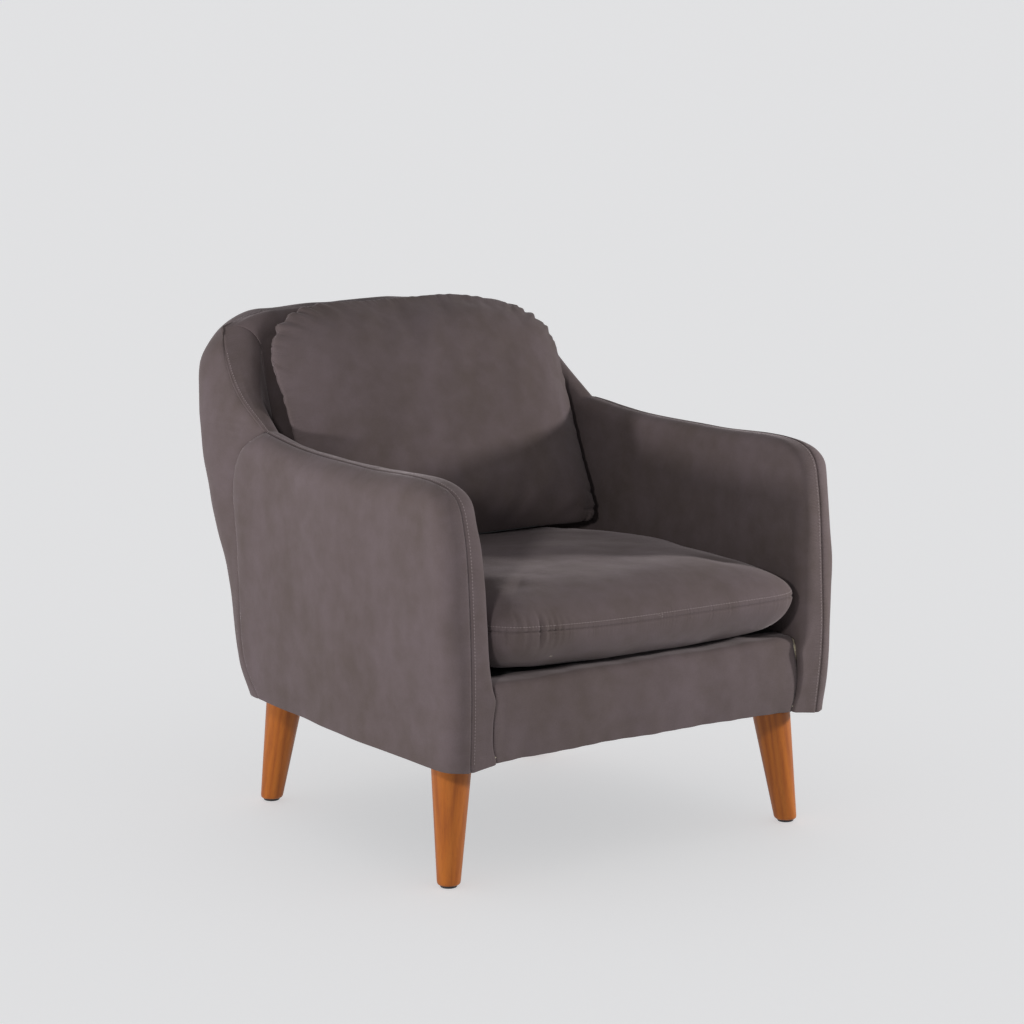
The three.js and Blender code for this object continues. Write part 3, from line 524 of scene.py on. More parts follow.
def stained_wood(name, dark, middle, light):
    """Beech with a warm brown stain, its grain along the object's local Z."""
    looks = Looks(name)
    along = looks.stretched((1, 1, 0.055))
    grain = looks.noise(along, 150.0, 4, 0.6)
    fine = looks.noise(along, 900.0)
    bands = {"Vector": along, "Scale": 26.0, "Distortion": 5.0, "Detail": 2.0, "Detail Scale": 1.2}
    bands = looks.node("TexWave", bands, bands_direction="X").outputs["Fac"]
    tone = looks.blend((grain, 0.6), (bands, 0.22), (looks.noise(looks.place, 16.0), 0.18))
    colour = looks.ramp(tone, (0.3, dark), (0.5, middle), (0.7, light))
    colour = looks.times(colour, looks.ramp(fine, (0.3, 0.86), (0.48, 1.0)))
    rough, normal = looks.ramp(grain, (0.3, 0.48), (0.7, 0.36)), looks.bump(fine, 0.2, 0.0003)
    varnish = {"Specular IOR Level": 0.3, "Coat Weight": 0.06, "Coat Roughness": 0.28}
    return looks.shaded({"Base Color": colour, "Roughness": rough, "Normal": normal, **varnish})


def plain(name, dark, light, scale, roughness, relief, metallic=0.0, stretch=(1, 1, 1)):
    """A surface of mottled colour and roughness, for small and hidden pieces."""
    looks = Looks(name)
    grain = looks.noise(looks.stretched(stretch), scale, 3, 0.55)
    colour = looks.ramp(grain, (0.35, dark), (0.65, light))
    rough = looks.ramp(grain, (0.3, roughness - 0.07), (0.7, roughness + 0.07))
    normal = looks.bump(grain, 0.4, relief)
    return looks.shaded({"Base Color": colour, "Roughness": rough, "Metallic": metallic, "Normal": normal})


upholstery = suede("upholstery_suede", (0.086, 0.067, 0.063), (0.112, 0.088, 0.092), (0.93, 0.84, 0.86))
thread = plain("upholstery_thread", (0.19, 0.155, 0.155), (0.28, 0.235, 0.235), 2500, 0.7, 0.0002)
wood = stained_wood("stained_beech", (0.26, 0.066, 0.0055), (0.335, 0.092, 0.0075), (0.375, 0.11, 0.010))
foam = plain("seat_foam", (0.7, 0.62, 0.42), (0.8, 0.73, 0.55), 500, 0.92, 0.0006)
lining = plain("black_lining", (0.012, 0.012, 0.013), (0.03, 0.03, 0.032), 800, 0.9, 0.0003)
zinc = plain("zinc_plate", (0.5, 0.5, 0.49), (0.72, 0.72, 0.7), 120, 0.36, 0.0001, 1.0)
black = plain("black_plastic", (0.01, 0.01, 0.011), (0.02, 0.019, 0.02), 600, 0.5, 0.0002)

pine = plain("sawn_pine", (0.5, 0.31, 0.14), (0.66, 0.45, 0.24), 220, 0.72, 0.0004, 0.0, (1, 0.08, 1))
strap = plain(
    "elastic_webbing", (0.02, 0.02, 0.022), (0.07, 0.068, 0.07), 700, 0.85, 0.0006, 0.0, (1, 1, 0.3)
)
spring = plain("spring_wire", (0.2, 0.2, 0.2), (0.36, 0.35, 0.34), 300, 0.42, 0.0001, 1.0)

MATERIAL_OF_SLOT = {
    "upholstery": upholstery, "lining": lining, "foam": foam, "webbing": strap, "stained_wood": wood,
    "frame_timber": pine, "zinc_steel": zinc, "spring_steel": spring, "black_plastic": black,
}
SLOT_OF_NODE = {row["node"]: row["material_slot"] for row in frame["record"]["subparts"]}
for node_name, node_object in NODES.items():
    node_object.data.materials.clear()
    node_object.data.materials.append(MATERIAL_OF_SLOT[SLOT_OF_NODE[node_name]])


# ---- covers ----
SIDES = (("_right", 1), ("_left", -1))
SLACK_REACH = 25  # how far from a seam the cloth's slack is at its full height
STITCH_INSET = 3.8  # from the arm's seam to the stitches beside it
STITCH_START, STITCH_SHARE = 3, 0.95  # the columns of the arm's cover that those stitches run along


def cover(name, surface, run, seams, detail, over, mirror=False, cell=6.0, stitched=False):
    """Makes a stretched cover and gives the grid of its outside.

    run is its length along u and v. seams are the edges that turn down into one: u0, u1, v0 or v1.
    """
    u, v = np.meshgrid(graded(run[0], cell), graded(run[1], cell))
    drawn = surface(u, v)
    normals = normals_of(drawn)
    across, up = run_lengths(drawn, 1), run_lengths(drawn, 0)
    distance = {"u0": across, "u1": across[:, -1:] - across, "v0": up, "v1": up[-1:, :] - up}
    nearest, along = np.full_like(across, 99.0), np.zeros_like(across)
    for edge in seams:
        along = np.where(distance[edge] < nearest, up if edge[0] == "u" else across, along)
        nearest = np.minimum(nearest, distance[edge])
    lift = detail(drawn, v) * smooth(nearest, 0, SLACK_REACH) - seam_dip(nearest)
    outer = drawn + normals * lift[..., None]
    points, faces = closed_sheet(outer, drawn - normals * CLOTH)
    uv = np.stack([along / 10, nearest / 10], axis=-1).reshape(-1, 2)
    made = []
    for suffix, side in SIDES if mirror else (("", 1),):
        flip = np.array([side, 1, 1])
        title, placed, turned_faces = name + suffix, settled(points * flip), faces[:, ::side]
        piece = mesh_object(title + "_fabric", placed, turned_faces, upholstery, "chair", np.vstack([uv, uv]))
        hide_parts(title)
        made.append((piece, over + suffix, flip))
    for piece, under, flip in made:
        rows = []
        if stitched:
            columns = range(STITCH_START, int(STITCH_SHARE * len(up[0])))
            line = np.array([read_line(outer[:, j], up[:, j], STITCH_INSET) for j in columns])
            away = np.array([read_line(normals[:, j], up[:, j], STITCH_INSET) for j in columns])
            rows = [stitches(piece.name + "_topstitch_1", settled(line * flip), away * flip, "chair")]
    return outer


def arm_out_detail(p, v):
    return slack(p, (1.6, 190, 11), (0.7, 70, 12))


def arm_in_detail(p, v):
    return slack(p, (1.1, 170, 21), (0.4, 60, 22))


BACK_FOLDS = ((606, 1.6), (619, 2.2), (634, 1.5))  # level creases beside the junction: height and depth


def back_out_detail(p, v):
    """Slack, with short wrinkles pulled level where the arm, wing and back meet."""
    near = smooth(np.abs(p[..., 0]), 285, 330) * (1 - smooth(p[..., 1], 270, 330))
    height = p[..., 2] + 1.5 * wobble(p, 60, 33)
    folds = sum(depth * bell(height, level, 2.8) for level, depth in BACK_FOLDS)
    return slack(p, (1.8, 220, 31), (0.6, 80, 32)) - near * folds


def back_in_detail(p, v):
    return 2.0 * wobble(p, 160, 41) * smooth(1 - v, 0.05, 0.3) + 0.5 * wobble(p, 60, 42)


def rail_detail(p, v):
    """Slack, small tucks above the hem's staples, and a soft fold beside the left end."""
    above_hem = p[..., 2] - HEM
    tucks = 0.8 * np.sin(p[..., 0] * 2 * math.pi / 38) * np.exp(-np.maximum(above_hem, 0) / 12)
    fold = 1.6 * bell(p[..., 0] + 278, 5 * np.sin(above_hem / 38), 5) * (1 - smooth(p[..., 2], 290, 312))
    return slack(p, (1.0, 150, 51), (0.5, 60, 52)) + tucks - fold


cover(
    "arm_outer_cover", arm_outside, (620, 470), ("u0", "u1", "v1"), arm_out_detail,
    "arm_post", mirror=True,
)
arm_cover = cover(
    "arm_inner_cover", arm_inside, (1370, 370), ("v0",), arm_in_detail,
    "arm_padding", mirror=True, stitched=True,
)
cover(
    "back_outer_cover", back_outside, (950, 640), ("u0", "u1", "v1"), back_out_detail,
    "back_top_rail", cell=4.5,
)
back_cover = cover(
    "back_inner_cover", back_inside, (560, 560), ("v1",), back_in_detail, "back_foam"
)
cover("front_rail_cover", rail_front, (589, 200), ("u0", "u1"), rail_detail, "front_rail")

WELT_RADIUS, WELT_DEPTH, WELT_STEP, WELT_SIDES = 2.3, 3.0, 4, 8


def welt(name, seam, outward):
    """The cloth folded into the groove between two covers, on both sides of the chair."""
    share = np.linspace(0.004, 0.996, int(seam.length / WELT_STEP))
    line, forward = seam.at(share), seam.tangent(share)
    up = outward(forward)
    side = unit(np.cross(forward, up))
    middle = line - WELT_DEPTH * up
    rings = [middle + WELT_RADIUS * (math.cos(a) * side + math.sin(a) * up) for a in round_angles(WELT_SIDES)]
    points = np.stack(rings, axis=1).reshape(-1, 3)
    faces = tube_faces(len(share), WELT_SIDES) + end_faces(len(share), WELT_SIDES)
    for suffix, sign in SIDES:
        placed, turned_faces = settled(points * np.array([sign, 1, 1])), [face[::-sign] for face in faces]
        piece = mesh_object(name + suffix, placed, turned_faces, upholstery, "chair")


def out_of_roll(forward):
    """Away from the arm or wing, square to its seam."""
    return unit(vec(0.5, -forward[..., 2], forward[..., 1]))


def out_of_corner(forward):
    """Away from the chair's rear corner, for the seam down its arm."""
    return unit(vec(1.0 + 0 * forward[..., 0], 0.4, 0))


welt("arm_seam_welt", arm_seam, out_of_roll)
welt("wing_seam_welt", wing_seam, out_of_roll)
welt("rear_seam_welt", rear_seam, out_of_corner)


# ---- loose cushions ----
CUSHION = {"seam": 385.0, "front": -435.0, "rear": 186.0, "half": 292.0, "up": 55.0, "down": 69.0}
CUSHION_MIDDLE = (CUSHION["front"] + CUSHION["rear"]) / 2
PILLOW = {"half": 279.0, "tall": 203.0, "forward": 56.0, "rearward": 82.0}
PILLOW_CENTRE = np.array([0, 166, 619.0])
PILLOW_LEAN = math.radians(22.5)
PAD_SAMPLES, RING_SAMPLES, NEARLY_ONE = 4001, 3201, 0.99999
CORNERS = [-1, 1, 3, 5, 7]  # places of a pad's corners round its edge, from the near left one back to it


class Pad:
    """Two sewn panels, over squares of a and b from -1 to 1, that share a seam at |a| or |b| = 1."""

    def __init__(self, half, powers, heights, shape_edge):
        self.half, self.powers, self.heights, self.shape_edge = half, powers, heights, shape_edge
        self.m = np.linspace(0, 1, PAD_SAMPLES)
        self.arc = []
        for height in heights:
            rise = np.diff(height(np.zeros_like(self.m), np.zeros_like(self.m), self.m))
            step = np.hypot(np.diff(self.m * (sum(half) / 2)), rise)
            self.arc.append(np.concatenate([[0], np.cumsum(step)]))
        self.tau = np.linspace(CORNERS[0], CORNERS[-1], RING_SAMPLES)
        a, b = (np.interp(self.tau, CORNERS, ends) for ends in ([-1, 1, 1, -1, -1], [-1, -1, 1, 1, -1]))
        self.ring_run = running(self.edge(a, b))

    def edge(self, a, b):
        n = 2 / np.where(b > 0, *self.powers)
        r = (np.abs(a) ** n + np.abs(b) ** n) ** (-1 / n)
        return self.shape_edge(a * r * self.half[0], b * r * self.half[1])

    def grid(self, a_values, b_values, layer):
        """Points, run along the seam, distance from it and place round it for a grid of one panel."""
        a, b = np.meshgrid(a_values, b_values)
        q = np.maximum(np.abs(a), np.abs(b))
        safe = np.maximum(q, 1e-9)
        da, db = a / safe, b / safe
        arc = self.arc[layer]
        m = np.interp(q * arc[-1], arc, self.m)
        xy = self.edge(np.where(q > 0, da, 1), np.where(q > 0, db, 0)) * m[..., None]
        z = (1, -1)[layer] * self.heights[layer](xy[..., 0], xy[..., 1], m)
        far_side = np.where(da >= NEARLY_ONE, 2 + db, np.where(db >= NEARLY_ONE, 4 - da, 6 - db))
        tau = np.where((db <= -NEARLY_ONE) & (np.abs(da) < 1), da, far_side)
        along = np.interp(tau, self.tau, self.ring_run)
        return np.concatenate([xy, z[..., None]], axis=-1), along, (1 - q) * arc[-1], tau

    @staticmethod
    def faces(rows, cols):
        """Faces of the two panels, where the lower one reuses the upper one's rim."""
        upper = numbered(rows, cols)
        lower = upper.copy()
        lower[1:-1, 1:-1] = upper.size + numbered(rows - 2, cols - 2)
        return np.vstack([quads_of(upper), quads_of(lower, True)])

    @staticmethod
    def packed(upper, lower):
        return np.vstack([upper.reshape(-1, upper.shape[-1]), lower[1:-1, 1:-1].reshape(-1, lower.shape[-1])])

    @staticmethod
    def unpacked(points, rows, cols):
        upper = points[: rows * cols].reshape(rows, cols, -1)
        lower = upper.copy()
        lower[1:-1, 1:-1] = points[rows * cols :].reshape(rows - 2, cols - 2, -1)
        return upper, lower


FILLING_FRAMES = 20
CASE_CLOTH = {
    "quality": 5,
    "mass": 0.25,
    "air_damping": 2.0,
    "tension_stiffness": 18,
    "compression_stiffness": 18,
    "shear_stiffness": 6,
    "bending_stiffness": 0.7,
    "use_pressure": True,
    "vertex_group_mass": "held",
}


def inflated(pad, a, b, cap, pressure, extra_cloth):
    """How far each point of a coarse grid of the pad moves as its cloth fills out, its seam held."""
    upper, lower = pad.grid(a, b, 0)[0], pad.grid(a, b, 1)[0]
    rows, cols = upper.shape[:2]
    start = pad.packed(upper, lower)
    obj = mesh_object("cloth_work", start, pad.faces(rows, cols), upholstery, None)
    index = numbered(rows, cols)
    rim = np.concatenate([index[0], index[-1], index[1:-1, 0], index[1:-1, -1]])
    obj.vertex_groups.new(name="held").add(rim.tolist(), 1.0, "REPLACE")
    cloth = obj.modifiers.new("cloth", "CLOTH")
    for key, value in CASE_CLOTH.items():
        setattr(cloth.settings, key, value)
    cloth.settings.uniform_pressure_force = pressure
    cloth.settings.shrink_min = -extra_cloth
    cloth.settings.effector_weights.gravity = 0
    cloth.collision_settings.use_collision = False
    cloth.collision_settings.use_self_collision = False
    cloth.point_cache.frame_end = FILLING_FRAMES
    scene = bpy.context.scene
    for number in range(1, FILLING_FRAMES + 1):
        scene.frame_set(number)
    shaped = obj.evaluated_get(bpy.context.evaluated_depsgraph_get()).to_mesh()
    end = np.zeros(len(shaped.vertices) * 3)
    shaped.vertices.foreach_get("co", end)
    move = end.reshape(-1, 3) / MM - start
    scene.frame_set(1)
    bpy.data.objects.remove(obj)
    far = np.linalg.norm(move, axis=1, keepdims=True)
    move *= cap * np.tanh(far / cap) / np.maximum(far, 1e-9)
    return pad.unpacked(move, rows, cols)


def cubic_weights(coarse, fine):
    """Rows of Catmull-Rom weights that read evenly spaced values at other places."""
    step = coarse[1] - coarse[0]
    out = np.zeros((len(fine), len(coarse)))
    for row, value in enumerate(fine):
        f = min(max((value - coarse[0]) / step, 0), len(coarse) - 1 - 1e-9)
        i = int(f)
        t = f - i
        weights = [
            -0.5 * t + t**2 - 0.5 * t**3,
            1 - 2.5 * t**2 + 1.5 * t**3,
            0.5 * t + 2 * t**2 - 1.5 * t**3,
            -0.5 * t**2 + 0.5 * t**3,
        ]
        for k, weight in enumerate(weights):
            out[row, min(max(i - 1 + k, 0), len(coarse) - 1)] += weight
    return out


def ripple(run, size, seed, waves=5):
    """Smooth noise along a line."""
    rng = np.random.default_rng(seed)
    total = np.zeros_like(run)
    for _ in range(waves):
        total += np.sin(run * 2 * math.pi / (size * rng.uniform(0.65, 1.5)) + rng.uniform(0, 2 * math.pi))
    return total / math.sqrt(waves)


def eased_grid(values, passes):
    """The grid's values averaged with their neighbours, with its rim held."""
    for _ in range(passes):
        beside = values[:-2, 1:-1] + values[2:, 1:-1] + values[1:-1, :-2] + values[1:-1, 2:]
        values[1:-1, 1:-1] = mix(values[1:-1, 1:-1], beside / 4, 0.7)
    return values


CASE_CELL, CASE_EDGE_CELL, CASE_EDGE_REACH = 3.8, 0.9, 8


def build_pad(body, pad, cells, relief, place, cap, pressure, extra_cloth, easing):
    """The finished cushion case: simulated shape, then seam and gathers on a finer grid.

    Gives the upper panel's points, normals, distances from the seam and places round it.
    """
    coarse = [np.linspace(-1, 1, count + 1) for count in cells]
    moves = inflated(pad, *coarse, cap, pressure, extra_cloth)
    fine = []
    for half in pad.half:
        size = 2 * (pad.arc[0][-1] + half - sum(pad.half) / 2)
        fine.append(graded(size, CASE_CELL, CASE_EDGE_CELL, CASE_EDGE_REACH) * 2 - 1)
    to_a, to_b = (cubic_weights(*pair) for pair in zip(coarse, fine))
    panels = []
    for layer, move in enumerate(moves):
        points, along, away, tau = pad.grid(*fine, layer)
        points = points + np.einsum("ij,jkc,lk->ilc", to_b, eased_grid(move, easing), to_a)
        normals = normals_of(points) * (1, -1)[layer]
        lift, shift = relief(points, along, away, tau, layer)
        points = points + normals * lift[..., None] + shift
        panels.append((points, np.stack([along / 10, away / 10], axis=-1), normals, away, tau))
    points, uv = (pad.packed(panels[0][k], panels[1][k]) for k in range(2))
    faces = pad.faces(*panels[0][0].shape[:2])
    case = mesh_object(body + "_case", place(points), faces, upholstery, body, uv)
    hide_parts(body + "_cover")
    return panels[0][0], *panels[0][2:]


def ring_line(points, normals, away, tau, distance, least=1.5):
    """Points and normals of a panel at a distance from its seam, in order round it."""
    chosen = []
    for axis in (0, 1):
        middle = tau.shape[axis] // 2
        grids = [np.moveaxis(grid, axis, 0) for grid in (points, normals, away, tau)]
        for j in range(tau.shape[1 - axis]):
            for inwards in (slice(None, middle), slice(None, middle - 1, -1)):
                p, n, d, t = (grid[inwards, j] for grid in grids)
                near = min(distance, d[-1])
                chosen.append((t[0], read_line(p, d, near), read_line(n, d, near)))
    chosen.sort(key=lambda item: item[0])
    kept = [chosen[0]]
    for item in chosen[1:]:
        if np.linalg.norm(item[1] - kept[-1][1]) > least:
            kept.append(item)
    return (np.array([item[k] for item in kept]) for k in (1, 2))


def seat_over(x, y, m):
    rear_fall = 1 - 0.26 * smooth(y + CUSHION_MIDDLE, -150, 100)
    side_fall = 1 - 0.14 * (x / CUSHION["half"]) ** 2
    return CUSHION["up"] * rear_fall * side_fall * roll(1 - m, 0.24)


def seat_under(x, y, m):
    front_rise = 1 - 0.13 * smooth(-y, 200, 300)
    return CUSHION["down"] * front_rise * roll(1 - m, 0.19)


def seat_edge(x, y):
    return np.stack([x, y], axis=-1)


def seat_place(points):
    return points + np.array([0, CUSHION_MIDDLE, CUSHION["seam"]])


def crease(offset, shoulder, spread):
    """The shape of a crease with raised shoulders, for distances from its middle in widths."""
    return bell(offset, 0, 1) - shoulder * bell(offset, 0, spread)


# creases in the front edge: distance from the left end, width and depth
PUCKERS = (
    (70, 3.0, 8.0), (85, 2.8, 3.2), (95, 2.8, 4.2), (106, 2.8, 3.0), (117, 3.2, 2.0), (48, 3.2, 2.4),
    (34, 3.2, 2.4),
)


def seat_relief(points, along, away, tau, layer):
    """Slack in the cloth, puckers at the front corners, and the edge seam."""
    loose = slack(points, (1.2, 190, 61), (0.3, 80, 62))
    front_corners = bell(tau, -0.9, 0.16) + bell(tau, 6.95, 0.1) + 0.7 * bell(tau, 1.0, 0.16)
    gather = front_corners * np.exp(-away / 22)
    lift = loose * smooth(away, 2, 40) + 0.7 * gather * ripple(along, 15, 63)
    from_left = points[..., 0] + CUSHION["half"]
    on_front = smooth(-points[..., 1], 230, 280) * bell(away, 0, 24)
    for start, width, depth in PUCKERS:
        lift -= depth * crease((from_left - start - 0.06 * away) / width, 0.35, 2.2) * on_front
    lift -= seam_dip(away) * 1.3
    raised = 10 * bell(from_left, 0, 150) * smooth(-points[..., 1], 60, 300)
    return lift, vec(0 * lift, 0 * lift, raised)


def pillow_plump(m):
    return (1 - m**3) ** 0.75


def pillow_over(x, y, m):
    return PILLOW["forward"] * pillow_plump(m)


def pillow_under(x, y, m):
    return PILLOW["rearward"] * pillow_plump(m)


def pillow_edge(x, y):
    """The sewn outline: wider at the top, its sides drawn in, its lower corners drawn down to points."""
    right, up = x / PILLOW["half"], y / PILLOW["tall"]
    side = np.abs(right)
    width = 1 + 2 / PILLOW["half"] * up
    drawn_in = 1 - 0.022 * (1 - np.clip(np.abs(up), 0, 1) ** 2) * side**4
    drop = np.where(y > 0, 0, 9 * side**6 + 6 * side**16)
    high = smooth(up, 0, 1)
    worn_corner = 20 * smooth(right, 0.2, 0.9) * high
    raised_corner = 11 * smooth(-right, 0.2, 0.9) * high
    shoulder = 9 * smooth(-right, 0.3, 1) * bell(up, 0.6, 0.27)
    return np.stack([x * width * drawn_in - shoulder, y - drop - worn_corner + raised_corner], axis=-1)


def pillow_place(points):
    x, y, z = points[..., 0], points[..., 1], points[..., 2]
    stand = math.pi / 2 - PILLOW_LEAN
    across, rise = y * math.cos(stand) - z * math.sin(stand), y * math.sin(stand) + z * math.cos(stand)
    return PILLOW_CENTRE + np.stack([x, across, rise], axis=-1)


# creases running in from the pillow's seam: place round it, slant, width, depth and length
PILLOW_CREASES = (
    (5.46, 0.5, 3.0, 5.0, 26), (5.3, 0.2, 3.0, 2.6, 30), (5.16, -0.2, 3.2, 2.2, 34),
    (5.02, 0.1, 3.2, 2.6, 30), (4.9, 0.3, 3.0, 2.0, 26), (4.74, 0.0, 3.2, 2.4, 24),
    (4.58, -0.2, 3.4, 1.6, 22), (5.72, -0.3, 3.4, 1.8, 24), (2.62, -0.2, 3.2, 2.0, 26),
    (2.8, 0.0, 3.0, 2.4, 30), (2.93, 0.2, 3.0, 2.2, 28), (3.08, 0.3, 3.2, 2.6, 32),
    (3.24, -0.1, 3.2, 1.8, 24), (3.45, 0.2, 3.6, 1.4, 22), (1.16, -0.9, 4.0, 3.4, 42),
    (1.3, -0.5, 4.0, 2.2, 36), (0.9, 1.2, 4.0, 2.6, 40), (-0.92, -1.0, 4.0, 2.4, 40),
)


def pillow_relief(points, along, away, tau, layer):
    """Slack in the cloth, gathers round the top corners and along the sides, and the edge seam."""
    loose = slack(points, (2.2, 170, 71 + layer), (0.9, 75, 73 + layer))
    corners = bell(tau, 3, 0.42) + bell(tau, 5, 0.42)
    sides = 0.3 * smooth(tau, 0.9, 1.3) * (1 - smooth(tau, 6.7, 7.1))
    feet = 0.6 * sum(bell(tau, foot, 0.12) for foot in (1, -1, 7))
    amount = np.clip(corners + sides + feet, 0, 1.2)
    gather = 1.6 * amount * np.exp(-((away / 26) ** 1.3)) * ripple(along, 22, 75)
    for start, slant, width, depth, reach in PILLOW_CREASES:
        offset = (along - np.interp(start, back_pad.tau, back_pad.ring_run) - slant * away) / width
        gather -= depth * crease(offset, 0.3, 2.4) * bell(away, 0, reach)
    lift = loose * smooth(away, 4, 60) + gather - seam_dip(away) * 0.95
    scallop = 0.7 * amount * np.exp(-away / 14) * ripple(along, 40, 76)
    return lift, unit(points * np.array([1, 1, 0])) * scallop[..., None]


SEAT_HALF = (CUSHION["half"], (CUSHION["rear"] - CUSHION["front"]) / 2)
seat_pad = Pad(SEAT_HALF, (0.2, 0.19), (seat_over, seat_under), seat_edge)
seat_panel = build_pad(
    "seat_cushion", seat_pad, (80, 88), seat_relief, seat_place,
    cap=6.0, pressure=2.0, extra_cloth=0.0, easing=14,
)
seat_line, seat_normals = ring_line(*seat_panel, distance=9.0)
stitches("seat_cushion_topstitch", seat_place(seat_line), seat_normals, "seat_cushion")
back_pad = Pad((PILLOW["half"], PILLOW["tall"]), (0.46, 0.15), (pillow_over, pillow_under), pillow_edge)
build_pad(
    "back_cushion", back_pad, (74, 62), pillow_relief, pillow_place,
    cap=12.0, pressure=4.0, extra_cloth=0.014, easing=3,
)


def pad_core(name, pad, place, body, inset):
    """The foam inside a case, a little smaller all round."""
    heights = (
        lambda x, y, m: pad.heights[0](x, y, m) * (1 - inset / 55),
        lambda x, y, m: pad.heights[1](x, y, m) * (1 - inset / 60),
    )
    inner = Pad([half - inset for half in pad.half], pad.powers, heights, pad.shape_edge)
    shares = [graded(2 * half, 14, 4, 20) * 2 - 1 for half in pad.half]
    grids = [inner.grid(*shares, layer)[0] for layer in (0, 1)]
    faces = inner.faces(*grids[0].shape[:2])
    core = mesh_object(name + "_foam", place(inner.packed(*grids)), faces, foam, body)
    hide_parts(name)


pad_core("seat_cushion_core", seat_pad, seat_place, "seat_cushion", 9.0)
pad_core("back_cushion_fill", back_pad, pillow_place, "back_cushion", 12.0)


# ---- legs, glides and plates ----
LEG_TOP, LEG_TOP_RADIUS, LEG_FOOT_RADIUS = 183.2, 31.0, 17.5
LEG_SPREAD = math.tan(math.radians(8.3)) / math.sqrt(2)
LEG_PLACES = {"front": (309.0, -323.0, -1), "rear": (248.0, 232.0, 1)}
BOLT_HOLE, PIN_HOLE, BOLT_FOOT, PIN_TOP, WOOD_FOOT, POINT = 4.45, 2.35, 153.0, 15.2, 4.4, 0.01
CRISP_ANGLE = math.radians(50)

# how far the leg is inside its straight taper near its foot and top, by height
LEG_PROFILE = [(WOOD_FOOT, -3.2), (4.7, -2.1), (5.5, -1.1), (7.0, -0.35), (9.0, 0)]
LEG_PROFILE += [(z, 0) for z in np.linspace(12, 178, 24)]
LEG_PROFILE += [(180.8, 0), (182.3, -0.35), (183.0, -1.1), (LEG_TOP, -2.2)]

# height and radius round the glide and over the plate
GLIDE_PROFILE = [(0, POINT), (0, 10.6), (0.25, 11.4), (0.7, 12.2), (1.4, 12.8), (2.2, 13), (3.9, 13)]
GLIDE_PROFILE += [(4, 12.8), (4, 2), (14.4, 2), (15, 1.4), (15, POINT)]
PLATE_PROFILE = [(183.5, 18.3), (184.2, 19), (193.9, 19), (194.4, 19.6), (194.4, 25.5), (194.8, 26)]
PLATE_PROFILE += [(196.5, 26), (196.9, 25.6)]
PLATE_HOLE = 4.9


def turned_out(points, faces):
    """The faces, all turned to face out of the closed body."""
    p = np.array(points, float)
    volume = 0
    for face in faces:
        for k in range(1, len(face) - 1):
            volume += np.dot(p[face[0]], np.cross(p[face[k]], p[face[k + 1]]))
    return faces if volume > 0 else [face[::-1] for face in faces]


def lathed(rings, sides, looped=False):
    """A closed surface through level rings of (x, y, z, radius), ended by points unless the rings loop."""
    angles = round_angles(sides)
    points = [(x + r * math.cos(a), y + r * math.sin(a), z) for x, y, z, r in rings for a in angles]
    faces = tube_faces(len(rings), sides, looped)
    if not looped:
        for i, step in ((0, 1), (len(rings) - 1, -1)):
            for j in range(sides):
                pair = [i * sides + (j + 1) % sides, i * sides + j]
                faces.append([len(points), *pair[::step]])
            points.append(rings[i][:3])
    return points, turned_out(points, faces)


def leg_pieces(name, side, x, y, rearward):
    """A leg with its glide and plate, splayed outwards to its side and forwards or rearwards."""

    def axis(z):
        return side * (x + LEG_SPREAD * (LEG_TOP - z)), y + rearward * LEG_SPREAD * (LEG_TOP - z)

    pin = axis(4.0)
    rings = [(*pin, PIN_TOP, POINT), (*pin, PIN_TOP, PIN_HOLE), (*pin, WOOD_FOOT, PIN_HOLE)]
    for z, inset in LEG_PROFILE:
        share = (LEG_TOP - z) / LEG_TOP
        rings.append((*axis(z), z, mix(LEG_TOP_RADIUS, LEG_FOOT_RADIUS, share) + inset))
    for z, radius in ((LEG_TOP, BOLT_HOLE), (BOLT_FOOT, BOLT_HOLE), (BOLT_FOOT, POINT)):
        rings.append((*axis(z), z, radius))
    points, faces = lathed(rings, 72)
    top, foot = Vector((*axis(LEG_TOP), LEG_TOP)), Vector((*axis(0), 0))
    frame_of_leg = (top - foot).to_track_quat("Z", "X").to_matrix().to_4x4()
    frame_of_leg.translation = foot * MM
    inverse = frame_of_leg.inverted()
    local = [inverse @ (Vector(p) * MM) / MM for p in points]
    leg = mesh_object(name + "_turned", local, faces, wood, None)
    leg.matrix_world = frame_of_leg
    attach(leg, "chair")
    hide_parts(name)
    glide_name, plate_name = name.replace("_leg_", "_glide_"), name.replace("_leg_", "_leg_plate_")
    points, faces = lathed([(*pin, z, radius) for z, radius in GLIDE_PROFILE], 48)
    glide = mesh_object(glide_name + "_moulded", points, faces, black, "chair")
    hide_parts(glide_name)
    ends = [(*axis(z), z, PLATE_HOLE) for z, _ in (PLATE_PROFILE[0], PLATE_PROFILE[-1])]
    rings = [ends[0], *[(side * x, y, z, radius) for z, radius in PLATE_PROFILE], ends[1]]
    points, faces = lathed(rings, 64, looped=True)
    plate = mesh_object(plate_name + "_pressed", points, faces, zinc, "chair")
    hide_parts(plate_name)
    for made in (leg, glide, plate):
        made.modifiers.new("crisp", "EDGE_SPLIT").split_angle = CRISP_ANGLE


for leg_name, leg_place in LEG_PLACES.items():
    for leg_suffix, leg_side in SIDES:
        leg_pieces(f"{leg_name}_leg{leg_suffix}", leg_side, *leg_place)


# ---- sheets under and inside the chair ----
DUST_TOP, DUST_THICKNESS, DECK_THICKNESS, SHEET_CELL = 198.7, 1.2, 1.6, 9.0
DUST_EDGE_Y = np.array([-380.0, 178, 208, 227, 242])
DUST_EDGE_X = np.array([330.0, 330, 313, 294, 256])
DECK_EDGE_Y = np.array([-351.7, 90, 163, 180])
DECK_EDGE_X = np.array([294.2, 294.2, 254.5, 238])


